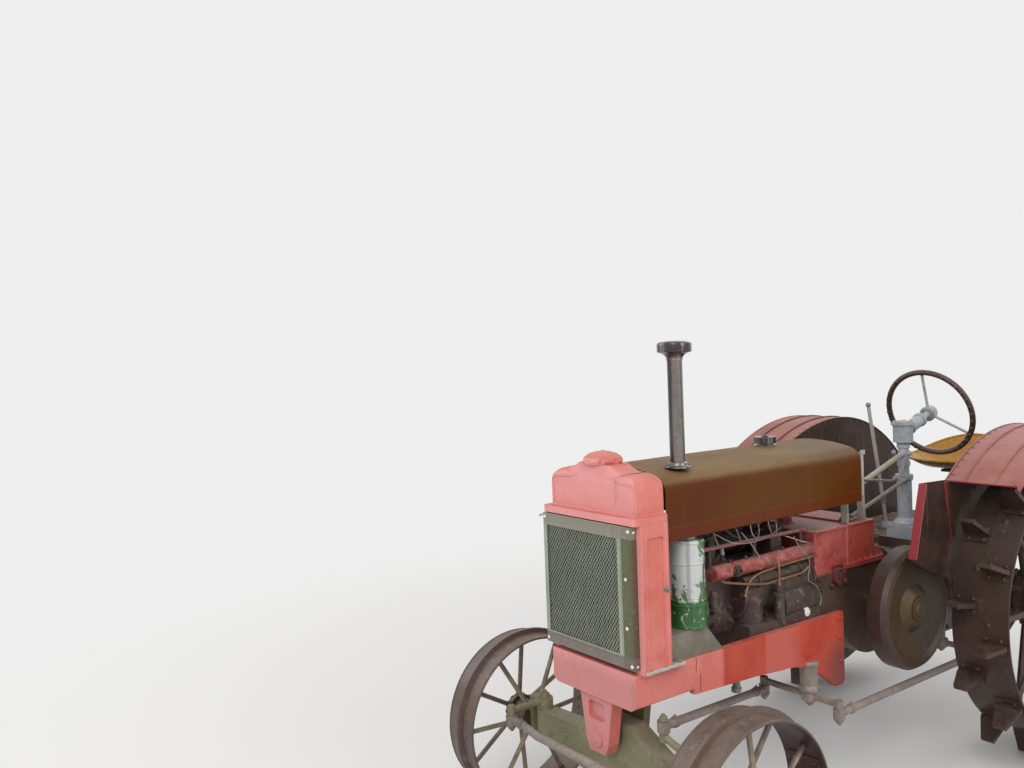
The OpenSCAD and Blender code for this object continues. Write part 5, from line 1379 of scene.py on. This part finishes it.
class TRACTOR_OT_wheels(bpy.types.Operator):
    """Adds spoke nuts, rivets, hub caps and rolled edges to the wheels, and the plates of joints and lugs"""

    bl_idname = "tractor.wheels"
    bl_label = "Wheels"

    def execute(self, context):
        for side, tag in ((1, "left"), (-1, "right")):
            self.front(side, "front_wheel_" + tag)
            self.rear(side, "rear_wheel_" + tag)
        return {"FINISHED"}

    def front(self, side, node):
        centre = (side * 0.513, FRONT_AXLE_Y, FRONT_AXLE_Z)
        inner, out = spoke_places(12, 0.2862, (0.0135, -0.0129))
        outer, _ = spoke_places(12, 0.2945, (0.027, -0.027))
        hub, _ = spoke_places(12, 0.0555, (0.045, -0.043))
        edges = [bead(0.0042, 8, ring((0, 0, z), TOP, 0.2905, 80), closed=True) for z in (-0.0705, 0.0705)]
        a = np.linspace(math.radians(86), math.radians(112), 9)
        arc = np.stack([0.2835 * np.cos(a), 0.2835 * np.sin(a), 0 * a], 1)
        plate = carried([(-0.002, -0.052), (0.002, -0.052), (0.002, 0.052), (-0.002, 0.052)], arc)
        rivets = [(0.2815 * math.cos(t), 0.2815 * math.sin(t), z) for t in a[1::2] for z in (-0.036, 0.036)]
        body = joined(many(hexagon(0.0115), inner, -out), many(dome(0.01, 0.004), outer, out), plate, *edges,
                      many(dome(0.007, 0.003), rivets, [(-p[0], -p[1], 0) for p in rivets]),
                      many(disc(0.0125, 0.007), hub, out))
        make_piece(node + "_fittings", on_wheel(body, side, centre), "wheel_bronze", node + "_body")
        shell = [(0.036, 0.064), (0.037, 0.07), (0.034, 0.08), (0.024, 0.088), (0.008, 0.0905), (0, 0.0905)]
        cap = joined(lathe(shell, ORIGIN, TOP, 40), turned(hexagon(0.01, 0, False), (0, 0, 0.09), TOP),
                     many(hexagon(0.006), ring((0, 0, 0.055), TOP, 0.05, 6), TOP))
        make_piece(node + "_cap", on_wheel(cap, side, centre), "dark_oil", node + "_body")

    def rear(self, side, node):
        centre = np.array([side * 0.531, REAR_AXLE_Y, node_centre(node)[2]])
        inner, out = spoke_places(16, 0.4978, (0.0275, -0.0266))
        hub, _ = spoke_places(16, 0.1075, (0.06, -0.059))
        outer, _ = spoke_places(16, 0.5078, (0.0275, -0.0266))
        edges = [bead(0.0045, 8, ring((0, 0, z), TOP, 0.5035, 112), closed=True) for z in (-0.0995, 0.0995)]
        lugs = 24
        a = (np.arange(lugs) + 0.5) * TAU / lugs
        lug_out = np.stack([np.cos(a), np.sin(a), 0 * a], 1)
        tangent = np.stack([-np.sin(a), np.cos(a), 0 * a], 1)
        axial = np.where(np.arange(lugs) % 2 == 0, 0.05, -0.05)[:, None] * np.array([[0, 0, 1]])
        foot = lug_out * 0.5072 + axial
        plates, bolts, bolt_axes = [], [], []
        vertices, faces = boxes((-0.034, -0.043, 0, 0.034, 0.043, 0.0065),
                                (-0.0125, -0.04, 0.006, 0.0125, 0.04, 0.012))
        for place, along, out_of_rim in zip(foot, tangent, lug_out):
            plates.append((place + vertices @ np.stack([along, TOP, out_of_rim]), faces))
            bolts += [place + along * across + [0, 0, high] + out_of_rim * 0.0062
                      for across in (-0.022, 0.022) for high in (-0.027, 0.027)]
            bolt_axes += [out_of_rim] * 4
        inside = [b - axis * 0.0165 for b, axis in zip(bolts, bolt_axes)]
        body = joined(many(hexagon(0.014), inner, -out), many(dome(0.013, 0.004), outer, out), *plates,
                      *edges, many(dome(0.0085, 0.005, 10), bolts, bolt_axes),
                      many(hexagon(0.0085, 0, False), inside, [-axis for axis in bolt_axes]),
                      many(disc(0.017, 0.008), hub, out))
        make_piece(node + "_fittings", on_wheel(body, side, centre), "rust", node + "_body", smooth=35)
        shell = [(0.05, 0.084), (0.052, 0.09), (0.049, 0.104), (0.036, 0.112), (0, 0.112)]
        cap = joined(lathe(shell, ORIGIN, TOP, 48), turned(hexagon(0.022, 0, False), (0, 0, 0.111), TOP),
                     many(hexagon(0.0115, 0.006), ring((0, 0, 0.074), TOP, 0.096, 8), TOP),
                     many(hexagon(0.0085), ring((0, 0, 0.086), TOP, 0.066, 6), TOP))
        make_piece(node + "_cap", on_wheel(cap, side, centre), "dark_oil", node + "_body")


def fender_arc(start, end, count, inset=0.0):
    """Points (y, z) along a fender's top: a 0.835 m arc in front of its crest and a 0.700 m arc behind it."""
    share = np.linspace(start, end, count)
    a = np.radians(np.where(share < 0.5, 127.4 - share * 2 * 37.4, 90 - (share - 0.5) * 2 * 60))
    r = np.where(share < 0.5, 0.835, 0.7)
    return 1.938 + (r - inset) * np.cos(a), 1.287 - r + (r - inset) * np.sin(a)


class TRACTOR_OT_fenders(bpy.types.Operator):
    """Adds the fenders' rolled edges, pressed ribs, rivets and braces"""

    bl_idname = "tractor.fenders"
    bl_label = "Fenders"

    def execute(self, context):
        y, z = fender_arc(0, 1, 60)
        inner, outer = 0.4, 0.65
        shapes = [bead(0.0052, 8, np.stack([0 * y + x, y, z - 0.002], 1), up=LEFT)
                  for x in (inner, outer - 0.0005)]
        shapes += [bead(0.006, 8, np.stack([0 * y + x, y, z], 1), (1, 0.42), up=LEFT) for x in (0.47, 0.58)]
        y, z = fender_arc(0, 1, 60, 0.034)
        shapes.append(bead(0.0042, 8, np.stack([0 * y + outer, y, z], 1), up=LEFT))
        for t in (0.0, 1.0):
            y, z = fender_arc(t, t, 1)
            shapes.append(bead(0.005, 8, [[x, y[0], z[0] - 0.002] for x in (inner, outer)]))
        rivet = dome(0.0062, 0.003)
        rivets = many(rivet, [(0.3975, y, z) for y, z in zip(*fender_arc(0.03, 0.97, 24, 0.018))], RIGHT)
        shapes.append(many(rivet, [(0.412, y, z) for y, z in zip(*fender_arc(0.03, 0.97, 24))], TOP))
        make_piece("fender_edges", both_sides(joined(*shapes)), "fender_red", "chassis")
        braces = [rivets]
        for share in (0.22, 0.5, 0.8):
            (y,), (z,) = fender_arc(share, share, 1, 0.006)
            foot = min(z - 0.17, 1.1)
            line = [(0.404, y, foot), (0.405, y, z - 0.075), (0.43, y, z - 0.018), (0.48, y, z - 0.004),
                    (0.642, y, z - 0.004)]
            braces.append(tube(line, 0.0075, 10, 5))
            braces.append(turned(hexagon(0.009, 0.004), (0.402, y, foot + 0.02), LEFT))
        low_bolts = [(0.402, y, 0.785) for y in (1.86, 2.02, 2.18, 2.34)]
        braces.append(many(hexagon(0.0095, 0.004), low_bolts, LEFT))
        make_piece("fender_braces", both_sides(joined(*braces)), "rust", "chassis")
        return {"FINISHED"}


class TRACTOR_OT_platform(bpy.types.Operator):
    """Adds the platform's tread, bolts and edge strips, the lever's ball and latch, and the drawbar's pin"""

    bl_idname = "tractor.platform"
    bl_label = "Platform and drawbar"

    def execute(self, context):
        bolt = context.scene.tractor.bolt
        make_piece("platform_tread", joined(self.tread(), self.edge_strips()), "deck_steel", "chassis")
        heads = [(s * 0.275, y, DECK_TOP) for s in (-1, 1) for y in (1.85, 2.0, 2.3, 2.45)]
        heads += [(0, y, DECK_TOP + 0.011) for y in (2.075, 2.135)]
        bar_low = node_box("drawbar")[0][2]
        hangers = [(s * 0.048, y, bar_low) for s in (-1, 1) for y in (1.665, 1.955)]
        pin = joined(disc(0.022, 0.005), disc(0.013, 0.02), hexagon(0.01, 0, False))
        # The spring's bolt under the seat, and the lever's foot
        seat_low = node_box("seat")[0][2]
        around = ring((-0.2, 2.0, DECK_TOP + 0.001), TOP, 0.034, 4, 0.8)
        others = joined(turned(hexagon(0.012, 0.006), (0, 2.235, seat_low - 0.0123), DOWN),
                        turned(pin, (0, 2.548, bar_low + 0.028), TOP),
                        many(hexagon(0.008, 0.003), around, TOP),
                        turned(disc(0.042, 0.006), (-0.2, 2.0, DECK_TOP - 0.0005), TOP))
        head = hexagon(bolt, 0.004)
        bolts = joined(many(head, heads, TOP), many(head, hangers, DOWN), others)
        make_piece("platform_bolts", bolts, "deck_steel", "chassis")
        foot, tip = np.array([-0.2, 2.0, 0.789]), np.array([-0.2, 1.875, 1.36])
        along = unit(tip - foot)
        low = 0.46
        rod = [tip - along * back + [0, out, 0] for back, out in ((0.1, 0.012), (0.3, 0.013), (low, 0.011))]
        latch = joined(many(band(0.006, 0.012, 0.016, ORIGIN, TOP, 20), [tip - along * low], along),
                       ball(tip - along * 0.004, 0.0115), tube(rod, 0.0032, 8, 1))
        make_piece("lever_latch", latch, "link_grey", "chassis")
        return {"FINISHED"}

    def tread(self):
        """Short ribs over the plate, turned 45 degrees to either side, clear of the spring and the lever."""
        left, front, count_x, count_y = -0.355, 1.865, 27, 22
        x, y = np.meshgrid(np.linspace(left, -left, count_x), np.linspace(front, 2.425, count_y))
        x, y = x.ravel(), y.ravel()
        keep = (np.hypot(x, y - 2.2) > 0.11) & (np.hypot(x + 0.2, y - 2.0) > 0.045)
        x, y = x[keep], y[keep]
        column, row = np.round((x - left) / 0.0273).astype(int), np.round((y - front) / 0.02667).astype(int)
        turns = np.where((column + row) % 2 == 0, 0.785, -0.785)
        turning = [[[math.cos(t), math.sin(t), 0], [-math.sin(t), math.cos(t), 0], [0, 0, 1]] for t in turns]
        rib, faces = boxes((-0.0085, -0.002, -0.0008, 0.0085, 0.002, 0.0022))
        points = rib[None] @ np.stack(turning) + np.stack([x, y, 0 * x + DECK_TOP], 1)[:, None]
        return points.reshape(-1, 3), [[i + len(rib) * k for i in f] for k in range(len(x)) for f in faces]

    def edge_strips(self):
        """Angle strips along the plate's front and rear edges."""
        half, low, high = 0.397, DECK_TOP - 0.012, DECK_TOP + 0.004
        return boxes((-half, 1.826, low, half, 1.834, high), (-half, 2.474, low, half, 2.484, high))


class TRACTOR_OT_post(bpy.types.Operator):
    """Adds the post's collars, lid and rods, the hood's irons, and the steering wheel's nut and grips"""

    bl_idname = "tractor.post"
    bl_label = "Steering post"

    def execute(self, context):
        slope = math.radians(18)
        shaft = np.array([0, math.cos(slope), math.sin(slope)])
        start = np.array([POST_X, POST_Y, 1.252])
        self.collars(start, shaft)
        self.rods_and_bracket()
        self.hood_irons()
        self.wheel(start + shaft * 0.225, shaft)
        return {"FINISHED"}

    def collars(self, start, shaft):
        """Collars on the slanted shaft and the post, their bolts, the foot's flare and the gear box's lid."""
        x, y = POST_X, POST_Y
        collar = band(0.024, 0.0295, 0.008, ORIGIN, TOP, 32)
        collars = [turned(collar, start + shaft * along, shaft) for along in (0.05, 0.14)]
        collars += [band(0.02, 0.0265, 0.01, (x, y, 0), TOP, 32, z) for z in (1.12, 1.196)]
        flare = [(0.028, 0.858), (0.05, 0.858), (0.05, 0.866), (0.034, 0.884), (0.028, 0.89)]
        collars.append(lathe(flare, (x, y, 0), TOP, 40))
        feet = [(across, along, 0.858) for across in (x - 0.038, 0.19) for along in (1.708, 1.78)]
        bolts = [many(hexagon(0.006, 0.003), ring((x, y, 1.294), TOP, 0.038, 6, 0.3), TOP),
                 many(hexagon(0.008, 0.004), feet, TOP),
                 many(hexagon(0.008, 0.004), [(x + s * 0.036, y - 0.014, 1.165) for s in (1, -1)], FRONT),
                 many(hexagon(0.006), ring(start + shaft * 0.1495, shaft, 0.019, 4, 0.8), shaft)]
        make_piece("post_collars", joined(*bolts, *collars), "post_blue", "chassis")
        lid = turned(joined(disc(0.03, 0.007, 0.003), dome(0.01, 0.012)), (x, y, 1.294), TOP)
        make_piece("post_lid", lid, "bracket_white", "chassis")

    def rods_and_bracket(self):
        """Throttle rod with its ball, a stay from post to case, and the bolts of the hood's bracket."""
        throttle = [(0.13, 1.198, 1.12), (0.112, 1.45, 1.086), (0.098, 1.6, 1.075), (0.058, 1.745, 1.14)]
        stay = [(0.066, 1.735, 1.06), (0.1, 1.46, 1.01), (0.12, 1.24, 0.968)]
        rods = joined(tube(throttle, 0.0048, 8), ball((0.099, 1.585, 1.076), 0.0115), tube(stay, 0.0085, 10),
                      turned(disc(0.016, 0.006), (0.12, 1.236, 0.9575), TOP))
        make_piece("post_rods", rods, "link_grey", "chassis")
        back = 1.1905
        corners = [(s * 0.13, back, z) for s in (-1, 1) for z in (0.972, 1.21)]
        stud = joined(disc(0.016, 0.004), hexagon(0.01, 0.005, False))
        bolts = joined(many(hexagon(0.0085, 0.006), corners, REAR), turned(stud, (0.13, back, 1.06), REAR))
        make_piece("bracket_bolts", bolts, "bracket_white", "chassis")

    def hood_irons(self):
        """Angle irons flush with the hood at its rear edge: their legs lean in and back to the case."""
        half, end = node_box("hood")[1][:2]
        foot, y0, knee, head = node_box("hood_bracket")[0][2], end + 0.001, 1.07, 1.228
        y1, inner, skin = y0 + 0.017, half - 0.024, half - 0.003
        legs, faces = boxes((skin, y0, foot, half, y1, knee),
                            (inner, y0, foot, half - 0.002, y0 + 0.003, knee))
        fall = (knee - np.asarray(legs)[:, 2:]) / (knee - foot)
        upper = boxes((skin, y0, knee - 0.004, half, y1, head),
                      (inner, y0 - 0.0004, knee - 0.004, half - 0.002, y0 + 0.003, head),
                      (0.1445, y0, 1.198, skin, y0 + 0.006, 1.224),
                      (skin, y0, 1.22, half + 0.001, y0 + 0.027, 1.236),
                      (half - 0.082, y0 + 0.088, foot, half - 0.052, y0 + 0.116, foot + 0.004))
        irons = both_sides(joined(upper, (np.asarray(legs) + fall * [-0.056, 0.095, 0], faces)))
        make_piece("hood_irons", irons, "bracket_white", "chassis", smooth=20)

    def wheel(self, hub, shaft):
        """The steering wheel's nut and boss, and the grips pressed under its rim."""
        boss = lathe([(0.022, -0.024), (0.033, -0.022), (0.033, -0.016), (0.028, -0.012)], ORIGIN, TOP, 32)
        top_nut = joined(disc(0.022, 0.004), hexagon(0.015, 0.007, False))
        nut = joined(turned(top_nut, hub + shaft * 0.013, shaft), turned(boss, hub, shaft))
        make_piece("steering_wheel_nut", nut, "post_blue", "steering_wheel_body")
        under = ring(hub, shaft, 0.1895, 36) - shaft * 0.0095
        grips = many(dome(0.0085, 0.005, 10), under, -shaft)
        make_piece("steering_wheel_grips", grips, "wheel_black", "steering_wheel_body")


class TRACTOR_OT_seat(bpy.types.Operator):
    """Adds the pressed pan seat with its rolled rim and its bolt"""

    bl_idname = "tractor.seat"
    bl_label = "Seat"

    def execute(self, context):
        low, high = node_box("seat")
        centre = np.array([(low[0] + high[0]) / 2, low[1] + 0.5 * (high[0] - low[0])])
        width = (high[0] - low[0]) / 2
        rows, columns = 26, 96
        t = np.linspace(0, 1, rows)[:, None]
        a = (np.arange(columns) * TAU / columns)[None, :]
        back = np.clip(np.sin(a), 0, 1) ** 1.5
        front = np.clip(-np.sin(a), 0, 1)
        radius = width * 0.985 * (1 - 0.05 * front ** 4)
        rim_height = 0.052 + (high[2] - low[2] - 0.06) * back - 0.02 * front ** 3
        thighs = -0.01 * front ** 2 * np.cos(2 * a) * t ** 2
        lift = np.clip((t - 0.42) / 0.58, 0, 1) ** 1.7
        z = low[2] + 0.01 + rim_height * lift + thighs
        reach = t ** 0.92
        x = centre[0] + radius * reach * np.cos(a)
        y = centre[1] + radius * reach * np.sin(a) * 0.985
        outer = np.stack([x, y, z], -1)
        inner = outer - np.array([0, 0, 0.0045])
        n = rows * columns
        faces = grid_faces(rows, columns, wrap_columns=True)
        under = [[i + n for i in f[::-1]] for f in faces]
        last = (rows - 1) * columns
        wall = [[last + i, last + i + n, last + (i + 1) % columns + n, last + (i + 1) % columns]
                for i in range(columns)]
        pan = (np.concatenate([outer.reshape(-1, 3), inner.reshape(-1, 3)]), faces + under + wall)
        roll = bead(0.0055, 10, outer[-1] - np.array([0, 0, 0.003]), closed=True)
        bolt = turned(joined(disc(0.02, 0.003), dome(0.013, 0.007)), (centre[0], 2.235, low[2] + 0.0095), TOP)
        make_piece("seat_pan", joined(pan, roll, bolt), "seat_yellow", "chassis", ["seat"])
        return {"FINISHED"}


class TRACTOR_OT_stage(bpy.types.Operator):
    """Adds the floor, the soft lamps, the pale world and the camera at the photograph's place"""

    bl_idname = "tractor.stage"
    bl_label = "Stage"
    backdrop = (0.86, 0.86, 0.86, 1)

    def execute(self, context):
        scene, settings = context.scene, context.scene.tractor
        self.floor(scene, settings)
        self.lamps(scene, settings)
        self.world(scene)
        self.camera(scene, settings)
        scene.view_settings.view_transform = "Standard"
        return {"FINISHED"}

    def floor(self, scene, settings):
        """A plain floor that far out takes the backdrop's value for the camera, so that no edge shows."""
        reach = 14.0
        mesh = bpy.data.meshes.new("floor")
        corners = [(-reach, -reach, 0), (reach, -reach, 0), (reach, reach, 0), (-reach, reach, 0)]
        mesh.from_pydata(corners, [], [(0, 1, 2, 3)])
        floor = bpy.data.objects.new("floor", mesh)
        scene.collection.objects.link(floor)
        f = Finish("floor_paint")
        f.finish(tuple(settings.floor), 0.6, specular=0.2)
        x, y, _ = f.split(f.place)
        away = f.between(f.distance(x, y), 1.8, 5.0)
        camera_ray, glossy_ray = (f.node("ShaderNodeLightPath", {}, {}, socket) for socket in (0, 3))
        seen = camera_ray.larger(glossy_ray) * away
        pale = f.tree.nodes.new("ShaderNodeEmission")
        pale.inputs["Color"].default_value, pale.inputs["Strength"].default_value = self.backdrop, 1.0
        blend = f.tree.nodes.new("ShaderNodeMixShader")
        for source, socket in ((seen.socket, blend.inputs[0]), (f.shader.outputs[0], blend.inputs[1]),
                               (pale.outputs[0], blend.inputs[2]),
                               (blend.outputs[0], f.tree.nodes["Material Output"].inputs["Surface"])):
            f.tree.links.new(source, socket)
        mesh.materials.append(f.material)

    def lamps(self, scene, settings):
        """Four large soft lamps that all point at the tractor's middle."""
        wide, middle = 6.0, Vector((0, -0.3, 0.7))
        for name, place, power in (("key", (4.4, -7.0, 7.2), 460), ("fill", (8.0, 1.6, 5.2), 200),
                                   ("right", (-7.4, -4.4, 5.6), 150), ("back", (-2.5, 7.6, 7.0), 150)):
            data = bpy.data.lights.new(name, "AREA")
            data.size, data.energy = wide, power * settings.light
            lamp = bpy.data.objects.new(name, data)
            scene.collection.objects.link(lamp)
            turn = (middle - Vector(place)).to_track_quat("-Z", "Y").to_matrix().to_4x4()
            lamp.matrix_world = Matrix.Translation(place) @ turn

    def world(self, scene):
        """A soft warm sky for the light, and the backdrop's value for the camera, glass and reflections."""
        world = bpy.data.worlds.new("studio")
        scene.world = world
        world.use_nodes = True
        nodes, links = world.node_tree.nodes, world.node_tree.links
        nodes.clear()
        soft, white = nodes.new("ShaderNodeBackground"), nodes.new("ShaderNodeBackground")
        for node, colour, strength in ((soft, (1.0, 0.985, 0.96, 1), 0.66), (white, self.backdrop, 1.0)):
            node.inputs["Color"].default_value, node.inputs["Strength"].default_value = colour, strength
        path, mix = nodes.new("ShaderNodeLightPath"), nodes.new("ShaderNodeMixShader")
        seen = path.outputs["Is Camera Ray"]
        for kind in ("Is Glossy Ray", "Is Transmission Ray"):
            shown = nodes.new("ShaderNodeMath")
            shown.operation = "MAXIMUM"
            links.new(seen, shown.inputs[0])
            links.new(path.outputs[kind], shown.inputs[1])
            seen = shown.outputs[0]
        for source, socket in ((seen, mix.inputs[0]), (soft.outputs[0], mix.inputs[1]),
                               (white.outputs[0], mix.inputs[2]),
                               (mix.outputs[0], nodes.new("ShaderNodeOutputWorld").inputs[0])):
            links.new(source, socket)

    def camera(self, scene, settings):
        """The camera, with the place and turn that were solved from the photograph's vanishing lines."""
        right, up = Vector((0.588, 0.808, -0.0377)), Vector((-0.0018, 0.0479, 0.9988))
        backward = Vector((0.8089, -0.5872, 0.0297))
        data = bpy.data.cameras.new("camera")
        data.lens, data.sensor_width = settings.lens, 36
        camera = bpy.data.objects.new("camera", data)
        scene.collection.objects.link(camera)
        turn = Matrix((right.normalized(), up.normalized(), backward.normalized())).transposed().to_4x4()
        camera.matrix_world = Matrix.Translation(Vector(spot(2.19, -1.859, 1.635))) @ turn
        scene.camera = camera


CLASSES = [TractorSettings, TRACTOR_OT_finishes, TRACTOR_OT_guard, TRACTOR_OT_hood, TRACTOR_OT_radiator,
           TRACTOR_OT_front_end, TRACTOR_OT_intake, TRACTOR_OT_engine, TRACTOR_OT_right_side, TRACTOR_OT_case,
           TRACTOR_OT_crank, TRACTOR_OT_steering, TRACTOR_OT_wheels, TRACTOR_OT_fenders, TRACTOR_OT_platform,
           TRACTOR_OT_post, TRACTOR_OT_seat, TRACTOR_OT_stage]


class TRACTOR_PT_panel(bpy.types.Panel):
    """Lists the operators and the settings"""

    bl_idname = "TRACTOR_PT_panel"
    bl_label = "Tractor"
    bl_space_type = "VIEW_3D"
    bl_region_type = "UI"
    bl_category = "Tractor"

    def draw(self, context):
        for name in TractorSettings.__annotations__:
            self.layout.prop(context.scene.tractor, name)
        for operator in CLASSES[1:]:
            self.layout.operator(operator.bl_idname)


def register():
    for item in [*CLASSES, TRACTOR_PT_panel]:
        bpy.utils.register_class(item)
    bpy.types.Scene.tractor = bpy.props.PointerProperty(type=TractorSettings)


def unregister():
    del bpy.types.Scene.tractor
    for item in reversed([*CLASSES, TRACTOR_PT_panel]):
        bpy.utils.unregister_class(item)


def main():
    """Builds the looks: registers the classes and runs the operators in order."""
    register()
    for operator in CLASSES[1:]:
        group, name = operator.bl_idname.split(".")
        getattr(getattr(bpy.ops, group), name)()
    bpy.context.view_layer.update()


if __name__ == "__main__":
    main()
